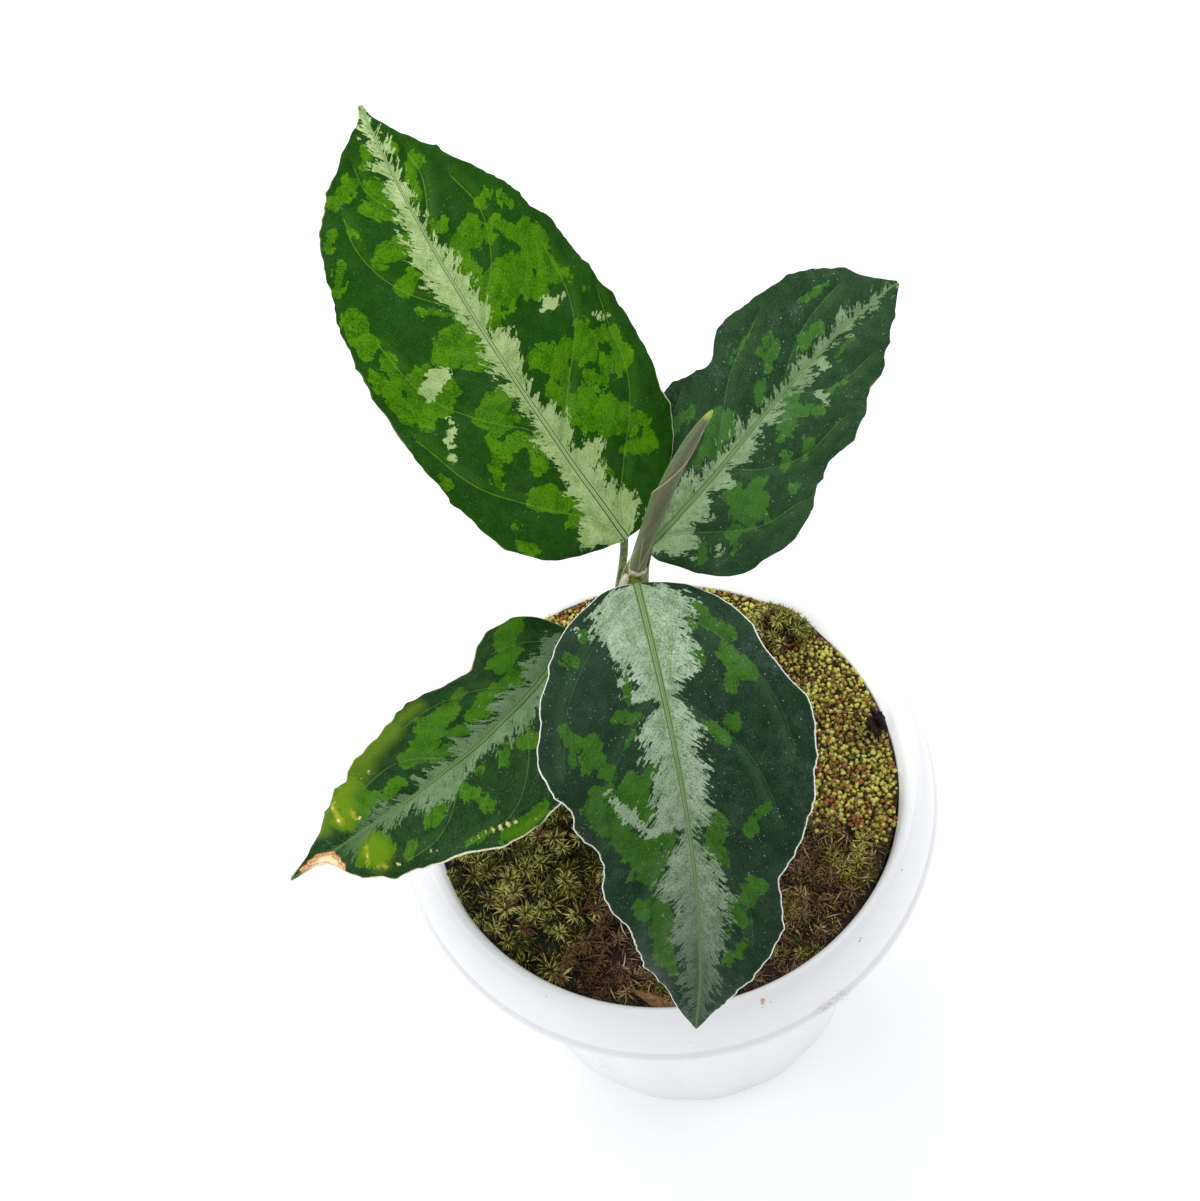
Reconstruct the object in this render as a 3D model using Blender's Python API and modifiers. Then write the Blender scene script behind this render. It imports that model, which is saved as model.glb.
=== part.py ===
"""Potted aglaonema: a young variegated plant in a white plastic pot with a rolled rim.

Sizes are in millimetres and MM turns them into metres. The origin is the centre of the
pot's flat base, +Z is up, and the leaf that hangs over the rim faces -Y.
"""

import math
from dataclasses import dataclass

import bmesh
import bpy
import numpy as np

MM = 0.001
MERGE_DISTANCE = 0.01
SEAT_GAP = 0.3
UP = np.array([0.0, 0.0, 1.0])

# Pot
BASE_RADIUS = 40.0
FLOOR_THICKNESS = 3.0
WALL = 1.8
SOIL_LINE = 98.0
INNER_TOP_RADIUS = 51.5
CREST_RADIUS = 54.0
POT_HEIGHT = 106.0
BEAD_RADIUS = 60.0
BEAD_HEIGHT = 91.0
BEAD_HALF = 0.6
LIP_DROP = 1.4
SKIRT_WALL = 1.5
ROUND_STEPS = 64
FLUTES = 16
FLUTE_DEPTH = 0.5
FLUTE_TOP = 84.0
DRAIN_HOLES = 6
DRAIN_RADIUS = 3.0
DRAIN_CIRCLE = 24.0
DRAIN_SIDES = 16

# Soil, which fills the pot
SOIL_EDGE = 96.4
SOIL_DOME = 1.6
SOIL_ROLL = 0.5
SOIL_STEPS = 48
SOIL_RINGS = (0.0, 0.12, 0.25, 0.4, 0.55, 0.7, 0.85, 1.0)
SOIL_CLEARANCE = 0.4

# Stem: a leaning cane whose foot stands in the soil
STEM_PATH = ((0.0, -1.0, 62.0), (0.0, 0.0, 98.0), (-3.0, 17.5, 149.0), (0.3, 19.0, 161.0))
STEM_RADII = (4.2, 4.2, 3.7, 2.7)
STEM_POINTS = 16


@dataclass(frozen=True)
class Leaf:
    """One leaf: a petiole that leaves the stem, then a blade along its midrib.

    The petiole's foot lies against the stem at seat_height, on the side that seat_angle
    gives (0 is +X and 90 is +Y), climbs beside it and turns at petiole_bend. The midrib is
    a cubic curve with four control points. An outline lists (place along the midrib, half
    width), and left is the left hand of someone who looks from the base to the tip. The
    margin rises and falls by wave_height, waves times from base to tip.
    """

    name: str
    seat_height: float
    seat_angle: float
    climb: float
    petiole_bend: tuple
    midrib: tuple
    left: tuple
    right: tuple
    colour: tuple
    fold: float = 0.22
    droop: float = 0.12
    waves: float = 4.5
    wave_height: float = 1.0


LEAVES = (
    Leaf(
        name="leaf_back_left",
        seat_height=131.0,
        seat_angle=138.0,
        climb=16.0,
        petiole_bend=(-4.5, 25.0, 157.0),
        midrib=((1.0, 27.0, 166.0), (-13.0, 45.0, 192.0), (-28.0, 69.0, 215.0), (-36.0, 100.0, 228.0)),
        left=(
            (0.0, 1.2), (0.01, 2.6), (0.035, 9.0), (0.065, 15.0), (0.1, 19.4), (0.14, 23.0),
            (0.18, 24.3), (0.225, 25.6), (0.275, 26.4), (0.325, 27.3), (0.375, 26.6), (0.45, 26.9),
            (0.55, 25.4), (0.65, 22.7), (0.75, 19.0), (0.82, 14.6), (0.88, 9.6), (0.93, 5.0),
            (0.97, 1.6), (1.0, 0.4),
        ),
        right=(
            (0.0, 1.2), (0.02, 6.0), (0.05, 14.5), (0.08, 20.5), (0.12, 23.3), (0.16, 23.9),
            (0.225, 25.4), (0.3, 26.6), (0.35, 26.0), (0.4, 25.3), (0.5, 24.5), (0.55, 23.3),
            (0.6, 21.3), (0.65, 19.8), (0.7, 17.8), (0.775, 13.2), (0.825, 10.6), (0.875, 7.5),
            (0.925, 3.9), (0.97, 1.2), (1.0, 0.4),
        ),
        colour=(0.03, 0.16, 0.02),
        waves=5.0,
        wave_height=0.8,
    ),
    Leaf(
        name="leaf_back_right",
        seat_height=124.0,
        seat_angle=62.0,
        climb=18.0,
        petiole_bend=(3.0, 29.5, 152.0),
        midrib=((5.0, 28.0, 159.0), (24.0, 33.0, 176.0), (41.0, 49.0, 189.0), (64.0, 59.0, 193.0)),
        left=(
            (0.0, 1.2), (0.03, 7.0), (0.07, 12.0), (0.12, 16.0), (0.18, 18.8), (0.24, 20.2),
            (0.3, 19.8), (0.35, 18.5), (0.39, 16.7), (0.42, 15.9), (0.45, 16.3), (0.475, 18.0),
            (0.525, 19.5), (0.575, 19.4), (0.625, 18.4), (0.7, 16.4), (0.75, 15.3), (0.8, 14.0),
            (0.875, 10.4), (0.925, 5.6), (0.97, 2.1), (1.0, 0.4),
        ),
        right=(
            (0.0, 1.2), (0.01, 3.5), (0.035, 7.0), (0.065, 11.0), (0.1, 15.9), (0.14, 19.9),
            (0.18, 21.8), (0.225, 23.8), (0.26, 24.2), (0.3, 23.5), (0.35, 21.7), (0.4, 19.1),
            (0.44, 18.0), (0.475, 18.4), (0.525, 19.3), (0.575, 18.4), (0.6, 17.7), (0.65, 15.0),
            (0.69, 14.0), (0.75, 12.9), (0.8, 11.0), (0.875, 7.7), (0.925, 4.8), (0.97, 2.1),
            (1.0, 0.4),
        ),
        colour=(0.02, 0.09, 0.03),
        waves=3.5,
        wave_height=1.2,
    ),
    Leaf(
        name="leaf_front",
        seat_height=138.0,
        seat_angle=268.0,
        climb=16.0,
        petiole_bend=(1.2, 12.5, 173.0),
        midrib=((1.0, 10.0, 178.0), (3.0, -30.0, 185.0), (4.0, -52.0, 153.0), (-3.0, -63.0, 120.0)),
        left=(
            (0.0, 1.2), (0.01, 6.5), (0.035, 11.6), (0.065, 15.1), (0.1, 18.6), (0.14, 20.6),
            (0.18, 22.6), (0.2, 24.2), (0.235, 27.2), (0.275, 27.5), (0.325, 26.8), (0.4, 24.8),
            (0.45, 23.1), (0.5, 20.4), (0.55, 17.4), (0.6, 16.4), (0.65, 16.8), (0.7, 16.2),
            (0.75, 13.8), (0.8, 10.4), (0.85, 7.3), (0.9, 4.9), (0.95, 2.6), (1.0, 0.4),
        ),
        right=(
            (0.0, 1.2), (0.01, 5.5), (0.035, 10.6), (0.065, 16.8), (0.1, 20.0), (0.12, 21.1),
            (0.155, 24.3), (0.2, 25.3), (0.25, 26.6), (0.3, 24.9), (0.35, 22.4), (0.4, 21.7),
            (0.45, 18.8), (0.49, 17.7), (0.55, 18.4), (0.6, 16.9), (0.65, 14.7), (0.7, 12.8),
            (0.76, 11.9), (0.8, 11.1), (0.85, 8.9), (0.9, 5.7), (0.95, 2.9), (1.0, 0.4),
        ),
        colour=(0.02, 0.08, 0.04),
        waves=3.0,
        wave_height=1.5,
    ),
    Leaf(
        name="leaf_left",
        seat_height=113.0,
        seat_angle=185.0,
        climb=14.0,
        petiole_bend=(-11.5, 20.0, 142.0),
        midrib=((-13.0, 18.0, 146.0), (-32.0, -7.0, 150.0), (-56.0, -13.0, 143.0), (-81.0, -17.0, 126.0)),
        left=(
            (0.0, 1.2), (0.03, 7.5), (0.07, 13.0), (0.12, 17.5), (0.18, 20.8), (0.25, 22.3),
            (0.34, 22.6), (0.4, 22.1), (0.45, 20.1), (0.5, 18.3), (0.55, 16.9), (0.6, 15.4),
            (0.65, 14.0), (0.7, 12.9), (0.75, 10.7), (0.8, 7.5), (0.83, 3.9), (0.86, 1.5), (0.92, 0.8),
            (1.0, 0.4),
        ),
        right=(
            (0.0, 1.2), (0.01, 6.0), (0.035, 11.5), (0.065, 14.1), (0.1, 15.3), (0.14, 15.3),
            (0.18, 13.9), (0.2, 13.2), (0.225, 13.6), (0.275, 14.4), (0.35, 15.7), (0.425, 16.6),
            (0.5, 16.4), (0.55, 15.4), (0.6, 14.3), (0.65, 13.1), (0.7, 11.9), (0.75, 11.0), (0.8, 9.4),
            (0.85, 6.6), (0.9, 3.8), (0.95, 1.7), (1.0, 0.4),
        ),
        colour=(0.03, 0.14, 0.02),
        waves=3.0,
        wave_height=1.2,
    ),
)
BLADE_THICKNESS = 0.7
RIB_DEPTH = 0.9
RIB_HALF_WIDTH = 1.6
SWEEP = 0.32
SWEEP_START = 0.3
PETIOLE_RADIUS = 1.25
PETIOLE_FOOT = 1.7
PETIOLE_SECTIONS = 9
BLADE_PLACES = (
    0.0, 0.012, 0.03, 0.055, 0.085, 0.12, 0.16, 0.2, 0.24, 0.28, 0.32, 0.36, 0.4, 0.44, 0.48,
    0.52, 0.56, 0.6, 0.64, 0.68, 0.72, 0.76, 0.8, 0.84, 0.88, 0.92, 0.96, 1.0,
)
BLADE_COLUMNS = (-1.0, -0.72, -0.4, -0.12, 0.0, 0.12, 0.4, 0.72, 1.0)

# Rolled new leaf, which stands on the stem's top
ROLL_RISE = 21.0
ROLL_BEND = (12.0, 21.0, 205.0)
ROLL_TIP = (20.0, 18.0, 225.0)
ROLL_RADII = ((0.0, 2.3), (0.15, 2.35), (0.4, 1.9), (0.65, 1.45), (0.85, 0.95), (1.0, 0.5))
ROLL_LIP = 0.25
ROLL_TURNS = 0.6
ROLL_SECTIONS = 14
ROLL_SIDES = 14


@dataclass(frozen=True)
class Moss:
    """One moss cushion: a sector of the soil round the stem, in degrees and millimetres.

    Angle 0 is +X and 90 is +Y. A mound is the (x, y, radius, height) of a taller clump.
    """

    name: str
    start: float
    end: float
    height: float
    lump: float
    colour: tuple
    steps: int
    mound: tuple = (0.0, 0.0, 1.0, 0.0)


MOSS = (
    Moss("moss_carpet", -24.0, 172.0, 1.6, 0.6, (0.22, 0.24, 0.04), 36, (33.0, 34.0, 5.0, 5.0)),
    Moss("moss_feathery", 175.0, 239.0, 2.6, 1.1, (0.10, 0.14, 0.02), 14),
    Moss("moss_dry", 242.0, 333.0, 1.4, 1.1, (0.12, 0.06, 0.03), 18),
)
MOSS_INNER = 9.0
MOSS_OUTER = 50.9
MOSS_EDGE = 1.6
MOSS_ROWS = 8


def clear_scene():
    for obj in list(bpy.data.objects):
        bpy.data.objects.remove(obj, do_unlink=True)


def new_collection(name, hidden=False):
    collection = bpy.data.collections.new(name)
    bpy.context.scene.collection.children.link(collection)
    collection.hide_render = hidden
    return collection


def principled(name, colour, roughness, metallic=0.0):
    material = bpy.data.materials.new(name)
    material.use_nodes = True
    shader = material.node_tree.nodes["Principled BSDF"]
    shader.inputs["Base Color"].default_value = (*colour, 1.0)
    shader.inputs["Roughness"].default_value = roughness
    shader.inputs["Metallic"].default_value = metallic
    return material


def unit(vector):
    return vector / np.linalg.norm(vector, axis=-1, keepdims=True)


def bezier(control, at):
    """Point on a cubic curve with four control points."""
    a, b, c, d = np.array(control, float)
    rest = 1.0 - at
    return rest**3 * a + 3 * rest**2 * at * b + 3 * rest * at**2 * c + at**3 * d


def bezier_slope(control, at):
    a, b, c, d = np.array(control, float)
    rest = 1.0 - at
    return 3 * (rest**2 * (b - a) + 2 * rest * at * (c - b) + at**2 * (d - c))


def smooth_value(points, at):
    """Value at one place of a smooth curve through (place, value) points."""
    places, values = np.array(points, float).T
    slopes = np.gradient(values, places)
    left = int(np.clip(np.searchsorted(places, at) - 1, 0, len(places) - 2))
    span = places[left + 1] - places[left]
    step = (at - places[left]) / span
    keep = (1 + 2 * step) * (1 - step) ** 2 * values[left] + step**2 * (3 - 2 * step) * values[left + 1]
    bend = step * (1 - step) ** 2 * slopes[left] - step**2 * (1 - step) * slopes[left + 1]
    return float(keep + span * bend)


def finish(mesh, name, material, collection, smooth_angle=40.0):
    """Names an object's mesh, shades it and puts it in its collection."""
    mesh.name = name
    mesh.materials.clear()
    mesh.materials.append(material)
    mesh.shade_smooth()
    mesh.set_sharp_from_angle(angle=math.radians(smooth_angle))
    obj = bpy.data.objects.new(name, mesh)
    collection.objects.link(obj)
    return obj


def loft(name, rings, material, collection):
    """Closed solid through rings of points.

    The first half of each ring runs along the upper face and the second half back along
    the lower one. Both faces are cut into triangles along the same diagonals.
    """
    rings = np.array(rings)
    count, around = rings.shape[:2]
    half = around // 2
    shape = bmesh.new()
    points = [[shape.verts.new(point * MM) for point in ring] for ring in rings]
    for ring in range(count - 1):
        here, there = points[ring], points[ring + 1]
        for k in range(around):
            after = (k + 1) % around
            if k < half:
                shape.faces.new((here[k], here[after], there[after]))
                shape.faces.new((here[k], there[after], there[k]))
            else:
                shape.faces.new((here[k], here[after], there[k]))
                shape.faces.new((here[after], there[after], there[k]))
    for end in (points[0], points[-1]):
        for k in range(half - 1):
            shape.faces.new((end[k], end[k + 1], end[around - 2 - k], end[around - 1 - k]))
    bmesh.ops.recalc_face_normals(shape, faces=shape.faces)
    mesh = bpy.data.meshes.new(name)
    shape.to_mesh(mesh)
    shape.free()
    return finish(mesh, name, material, collection)


def turned(name, profile, steps):
    """Object turned round Z from a profile of (radius, height) points."""
    mesh = bpy.data.meshes.new(name)
    points = [(radius * MM, 0.0, height * MM) for radius, height in profile]
    edges = [(k, k + 1) for k in range(len(points) - 1)]
    mesh.from_pydata(points, edges, [])
    obj = bpy.data.objects.new(name, mesh)
    bpy.context.scene.collection.objects.link(obj)
    screw = obj.modifiers.new("turn", "SCREW")
    screw.steps = steps
    screw.render_steps = steps
    screw.use_merge_vertices = True
    screw.merge_threshold = 5 * MERGE_DISTANCE * MM
    return obj


def evaluated_mesh(obj):
    """The object's mesh as its modifiers leave it, after which the object is removed."""
    graph = bpy.context.evaluated_depsgraph_get()
    mesh = bpy.data.meshes.new_from_object(obj.evaluated_get(graph))
    bpy.data.objects.remove(obj, do_unlink=True)
    return mesh


def wall_radius(height):
    """Radius of the pot's inner wall at a height."""
    foot = BASE_RADIUS - WALL
    return foot + (INNER_TOP_RADIUS - foot) * (height - FLOOR_THICKNESS) / (SOIL_LINE - FLOOR_THICKNESS)


def pot_profile():
    """Outline of the pot from the middle of its floor, over the rim, to the middle of its base."""
    crest_drop = POT_HEIGHT - SOIL_LINE
    skirt_reach = BEAD_RADIUS - CREST_RADIUS
    lip_bottom = BEAD_HEIGHT - LIP_DROP
    inside = [
        (0.0, FLOOR_THICKNESS),
        (wall_radius(FLOOR_THICKNESS) - 1.5, FLOOR_THICKNESS),
        (wall_radius(FLOOR_THICKNESS) + 0.2, FLOOR_THICKNESS + 1.5),
        (INNER_TOP_RADIUS, SOIL_LINE),
        (INNER_TOP_RADIUS + 0.9, SOIL_LINE + 0.7 * crest_drop),
        (CREST_RADIUS - 1.0, POT_HEIGHT - 0.5),
    ]
    rim = [
        (CREST_RADIUS, POT_HEIGHT),
        (CREST_RADIUS + 0.25 * skirt_reach, POT_HEIGHT - 0.8),
        (CREST_RADIUS + 0.5 * skirt_reach, POT_HEIGHT - 3.2),
        (CREST_RADIUS + 0.72 * skirt_reach, POT_HEIGHT - 7.0),
        (CREST_RADIUS + 0.88 * skirt_reach, BEAD_HEIGHT + 2 * BEAD_HALF),
        (BEAD_RADIUS, BEAD_HEIGHT + BEAD_HALF),
        (BEAD_RADIUS, BEAD_HEIGHT - BEAD_HALF),
        (BEAD_RADIUS - BEAD_HALF, lip_bottom),
        (BEAD_RADIUS - BEAD_HALF - SKIRT_WALL, lip_bottom),
    ]
    channel = [
        (CREST_RADIUS + 0.72 * skirt_reach - SKIRT_WALL - 0.3, POT_HEIGHT - 7.4),
        (CREST_RADIUS + 0.6, POT_HEIGHT - 2.8),
        (wall_radius(SOIL_LINE + 2.0) + WALL, SOIL_LINE + 2.0),
        (wall_radius(FLUTE_TOP) + WALL, FLUTE_TOP),
    ]
    body = [
        (wall_radius(0.5 * FLUTE_TOP) + WALL, 0.5 * FLUTE_TOP),
        (BASE_RADIUS, 1.5),
        (BASE_RADIUS - 0.8, 0.0),
        (0.0, 0.0),
    ]
    return inside + rim + channel + body


def flute(mesh):
    """Presses shallow upright flutes into the outside of the pot's body."""
    for vertex in mesh.vertices:
        x, y, z = vertex.co / MM
        radius = math.hypot(x, y)
        outside = radius > wall_radius(z) + 0.5 * WALL
        if not outside or z >= FLUTE_TOP or radius < 1.0:
            continue
        depth = FLUTE_DEPTH * min(1.0, (FLUTE_TOP - z) / (0.5 * FLUTE_TOP))
        push = depth * math.cos(FLUTES * math.atan2(y, x)) - depth
        vertex.co.x *= (radius + push) / radius
        vertex.co.y *= (radius + push) / radius


def drain_cutters(collection):
    """Upright cylinders for the holes round the middle of the floor."""
    cutters = []
    for k in range(DRAIN_HOLES):
        angle = 2 * math.pi * (k + 0.5) / DRAIN_HOLES
        bpy.ops.mesh.primitive_cylinder_add(
            vertices=DRAIN_SIDES,
            radius=DRAIN_RADIUS * MM,
            depth=4 * FLOOR_THICKNESS * MM,
            location=(DRAIN_CIRCLE * MM * math.cos(angle), DRAIN_CIRCLE * MM * math.sin(angle), 0.0),
        )
        cutter = bpy.context.active_object
        cutter.name = f"drain_cutter_{k + 1}"
        for holder in list(cutter.users_collection):
            holder.objects.unlink(cutter)
        collection.objects.link(cutter)
        cutter.display_type = "WIRE"
        cutter.hide_render = True
        cutters.append(cutter)
    return cutters


def cut(obj, cutter):
    boolean = obj.modifiers.new(f"cut {cutter.name}", "BOOLEAN")
    boolean.operation = "DIFFERENCE"
    boolean.solver = "EXACT"
    boolean.object = cutter


def build_pot(parts, cutters):
    mesh = evaluated_mesh(turned("pot_turned", pot_profile(), ROUND_STEPS))
    flute(mesh)
    plastic = principled("white_plastic", (0.86, 0.87, 0.88), 0.22)
    pot = finish(mesh, "pot", plastic, parts)
    for cutter in drain_cutters(cutters):
        cut(pot, cutter)
    return pot


def soil_height(x, y):
    """Height of the soil's surface: a low dome with a slow roll."""
    radius = math.hypot(x, y) / INNER_TOP_RADIUS
    roll = math.sin(x / 11.0 + 0.6) * math.cos(y / 13.0)
    return SOIL_EDGE + SOIL_DOME * (1.0 - radius**2) + SOIL_ROLL * roll


def soil_profile():
    """Outline of the soil from the middle of its top to the middle of its foot."""
    top_radius = wall_radius(SOIL_EDGE) - SOIL_CLEARANCE
    rings = [(top_radius * share, SOIL_LINE) for share in SOIL_RINGS]
    foot_height = FLOOR_THICKNESS + SEAT_GAP
    foot = [
        (wall_radius(foot_height + 2.0) - SOIL_CLEARANCE, foot_height + 2.0),
        (wall_radius(foot_height) - 2.2, foot_height),
        (0.0, foot_height),
    ]
    return rings + foot


def stem_place(height):
    """Place along the stem at a height."""
    places = np.linspace(0.0, 1.0, 101)
    heights = [bezier(STEM_PATH, place)[2] for place in places]
    return float(np.interp(height, heights, places))


def stem_radius(place):
    radii = tuple((k / (len(STEM_RADII) - 1), radius) for k, radius in enumerate(STEM_RADII))
    return smooth_value(radii, place)


def stem_curve(name, extra):
    """Tube along the stem, thicker than it by the extra radius."""
    curve = bpy.data.curves.new(name, "CURVE")
    curve.dimensions = "3D"
    curve.bevel_depth = MM
    curve.bevel_resolution = 5
    curve.use_fill_caps = True
    spline = curve.splines.new("POLY")
    spline.points.add(STEM_POINTS - 1)
    for k, point in enumerate(spline.points):
        place = k / (STEM_POINTS - 1)
        point.co = (*(bezier(STEM_PATH, place) * MM), 1.0)
        point.radius = stem_radius(place) + extra
    obj = bpy.data.objects.new(name, curve)
    bpy.context.scene.collection.objects.link(obj)
    return obj


def stem_cutter(cutters):
    """The stem's hole in the soil: its own tube, a seat gap wider and longer at the foot."""
    obj = stem_curve("stem_hole", SEAT_GAP)
    mesh = evaluated_mesh(obj)
    shape = bmesh.new()
    shape.from_mesh(mesh)
    bmesh.ops.remove_doubles(shape, verts=shape.verts, dist=MERGE_DISTANCE * MM)
    foot_top = (STEM_PATH[0][2] + 1.5) * MM
    for vertex in shape.verts:
        if vertex.co.z < foot_top:
            vertex.co.z -= SEAT_GAP * MM
    bmesh.ops.recalc_face_normals(shape, faces=shape.faces)
    shape.to_mesh(mesh)
    shape.free()
    cutter = bpy.data.objects.new("stem_hole", mesh)
    cutters.objects.link(cutter)
    cutter.display_type = "WIRE"
    cutter.hide_render = True
    return cutter


def build_soil(parts, cutters):
    mesh = evaluated_mesh(turned("soil_turned", soil_profile(), SOIL_STEPS))
    for vertex in mesh.vertices:
        x, y, z = vertex.co / MM
        if z > SOIL_LINE - 0.5:
            vertex.co.z = soil_height(x, y) * MM
    earth = principled("soil", (0.05, 0.03, 0.02), 0.95)
    soil = finish(mesh, "soil", earth, parts)
    cut(soil, stem_cutter(cutters))
    return soil


def build_stem(parts):
    mesh = evaluated_mesh(stem_curve("stem_tube", 0.0))
    shape = bmesh.new()
    shape.from_mesh(mesh)
    bmesh.ops.remove_doubles(shape, verts=shape.verts, dist=MERGE_DISTANCE * MM)
    bmesh.ops.recalc_face_normals(shape, faces=shape.faces)
    shape.to_mesh(mesh)
    shape.free()
    cane = principled("stem_green", (0.28, 0.36, 0.14), 0.5)
    return finish(mesh, "stem", cane, parts)


def blade_frame(leaf, at):
    """Directions at a place of the midrib: along it, to its right and off its upper face."""
    along = unit(bezier_slope(leaf.midrib, at))
    right = unit(np.cross(along, UP))
    return along, right, np.cross(right, along)


def blade_point(leaf, at, column):
    """Middle of the blade's thickness at a place along it and a column from -1 to 1."""
    along, right, normal = blade_frame(leaf, at)
    reach = smooth_value(leaf.left if column < 0 else leaf.right, at)
    width = reach * abs(column)
    side = -1.0 if column < 0 else 1.0
    forward = SWEEP * min(1.0, at / SWEEP_START) * width
    wave = math.sin(2 * math.pi * (leaf.waves * at + 0.25 * side))
    lift = (leaf.fold - leaf.droop * abs(column)) * width
    lift += leaf.wave_height * min(1.0, reach / 8.0) * column**2 * wave
    return bezier(leaf.midrib, at) + side * width * right + forward * along + lift * normal


def blade_ring(leaf, at):
    """Section of the blade: its upper face from left to right, then its lower face back."""
    normal = blade_frame(leaf, at)[2]
    middle = [blade_point(leaf, at, column) for column in BLADE_COLUMNS]
    upper = [point + 0.5 * BLADE_THICKNESS * normal for point in middle]
    lower = []
    for column, point in zip(BLADE_COLUMNS, middle):
        reach = smooth_value(leaf.left if column < 0 else leaf.right, at)
        off_rib = abs(column) * reach / RIB_HALF_WIDTH
        rib = RIB_DEPTH * (1.0 - at) * math.exp(-(off_rib**2))
        lower.append(point - (0.5 * BLADE_THICKNESS + rib) * normal)
    return upper + lower[::-1]


def petiole_path(leaf):
    """Control points of the petiole, from its seat beside the stem to the blade's base."""
    place = stem_place(leaf.seat_height)
    along = unit(bezier_slope(STEM_PATH, place))
    angle = math.radians(leaf.seat_angle)
    outward = np.array([math.cos(angle), math.sin(angle), 0.0])
    outward = unit(outward - np.dot(outward, along) * along)
    seat = bezier(STEM_PATH, place) + (stem_radius(place) + SEAT_GAP + PETIOLE_FOOT) * outward
    climbed = seat + leaf.climb * along + 0.5 * outward
    return seat, climbed, leaf.petiole_bend, leaf.midrib[0]


def petiole_rings(leaf):
    """Round sections from the stem to the blade's base, turned to meet the first blade ring."""
    path = petiole_path(leaf)
    count = len(BLADE_COLUMNS)
    angles = math.pi * (np.arange(2 * count) + 0.5) / count
    right = blade_frame(leaf, 0.0)[1]
    rings = []
    for place in np.linspace(1.0, 0.0, PETIOLE_SECTIONS + 1)[1:]:
        along = unit(bezier_slope(path, place))
        right = unit(right - np.dot(right, along) * along)
        normal = np.cross(right, along)
        radius = PETIOLE_RADIUS + (PETIOLE_FOOT - PETIOLE_RADIUS) * (1.0 - place) ** 2
        centre = bezier(path, place)
        rings.append([centre + radius * (math.sin(a) * normal - math.cos(a) * right) for a in angles])
    return rings[::-1]


def build_leaf(leaf, parts):
    rings = petiole_rings(leaf) + [blade_ring(leaf, at) for at in BLADE_PLACES]
    green = principled(f"{leaf.name}_green", leaf.colour, 0.4)
    return loft(leaf.name, rings, green, parts)


def roll_path():
    """Control points of the rolled leaf, which goes on in the stem's direction."""
    along = unit(bezier_slope(STEM_PATH, 1.0))
    base = bezier(STEM_PATH, 1.0) + SEAT_GAP * along
    return base, base + ROLL_RISE * along, ROLL_BEND, ROLL_TIP


def build_rolled_leaf(parts):
    """A blade still rolled up: a taper whose edge winds round it as a small step."""
    path = roll_path()
    rings = []
    right = np.array([1.0, 0.0, 0.0])
    for place in np.linspace(0.0, 1.0, ROLL_SECTIONS):
        along = unit(bezier_slope(path, place))
        right = unit(right - np.dot(right, along) * along)
        normal = np.cross(right, along)
        start = 2 * math.pi * ROLL_TURNS * place
        ring = []
        for k in range(ROLL_SIDES):
            share = k / (ROLL_SIDES - 1)
            radius = smooth_value(ROLL_RADII, place) * (1.0 - 0.5 * ROLL_LIP + ROLL_LIP * share)
            angle = start - 2 * math.pi * (k + 0.5) / ROLL_SIDES
            offset = math.cos(angle) * right + math.sin(angle) * normal
            ring.append(bezier(path, place) + radius * offset)
        rings.append(ring)
    young = principled("rolled_leaf", (0.30, 0.34, 0.18), 0.45)
    return loft("leaf_rolled", rings, young, parts)


def moss_relief(x, y):
    """Lumps of the moss, from -1 to 1, as crossed ripples."""
    first = math.sin(0.71 * x + 0.4) * math.cos(0.63 * y - 0.8)
    second = math.sin(0.37 * x - 0.52 * y + 1.9)
    return 0.6 * first + 0.4 * second


def moss_ring(moss, share):
    """Section of a moss cushion along one spoke, from beside the stem to the pot's wall."""
    angle = math.radians(moss.start + (moss.end - moss.start) * share)
    ends = math.sin(math.pi * share) ** 0.35
    mound_x, mound_y, mound_radius, mound_height = moss.mound
    upper, lower = [], []
    for row in range(MOSS_ROWS):
        across = row / (MOSS_ROWS - 1)
        radius = MOSS_INNER + (MOSS_OUTER - MOSS_INNER) * across
        x, y = radius * math.cos(angle), radius * math.sin(angle)
        swell = (1.0 - (2 * across - 1) ** 8) * ends
        off_mound = math.hypot(x - mound_x, y - mound_y) / mound_radius
        height = MOSS_EDGE + swell * (moss.height + moss.lump * moss_relief(x, y))
        height += mound_height * math.exp(-(off_mound**2))
        floor = soil_height(x, y) + SEAT_GAP
        lower.append((x, y, floor))
        upper.append((x, y, floor + height))
    return upper + lower[::-1]


def build_moss(moss, parts):
    rings = [moss_ring(moss, step / moss.steps) for step in range(moss.steps + 1)]
    fuzz = principled(f"{moss.name}_green", moss.colour, 0.95)
    return loft(moss.name, rings, fuzz, parts)


def main():
    clear_scene()
    parts = new_collection("potted_aglaonema")
    cutters = new_collection("cutters", hidden=True)
    build_pot(parts, cutters)
    build_soil(parts, cutters)
    build_stem(parts)
    for leaf in LEAVES:
        build_leaf(leaf, parts)
    build_rolled_leaf(parts)
    for moss in MOSS:
        build_moss(moss, parts)


if __name__ == "__main__":
    main()
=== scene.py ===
"""Dressed scene of a potted aglaonema in a white plastic pot.

Sizes are in millimetres until a mesh is written, where MM turns them into metres. The
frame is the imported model's: origin at the centre of the pot's base, +Z up, and the leaf
that hangs over the rim towards -Y.
"""

import logging
import math
from dataclasses import dataclass, field
from enum import Enum
from typing import Any, Callable, Optional, Sequence, Union

import bpy
import numpy as np
from mathutils import Matrix


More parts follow.
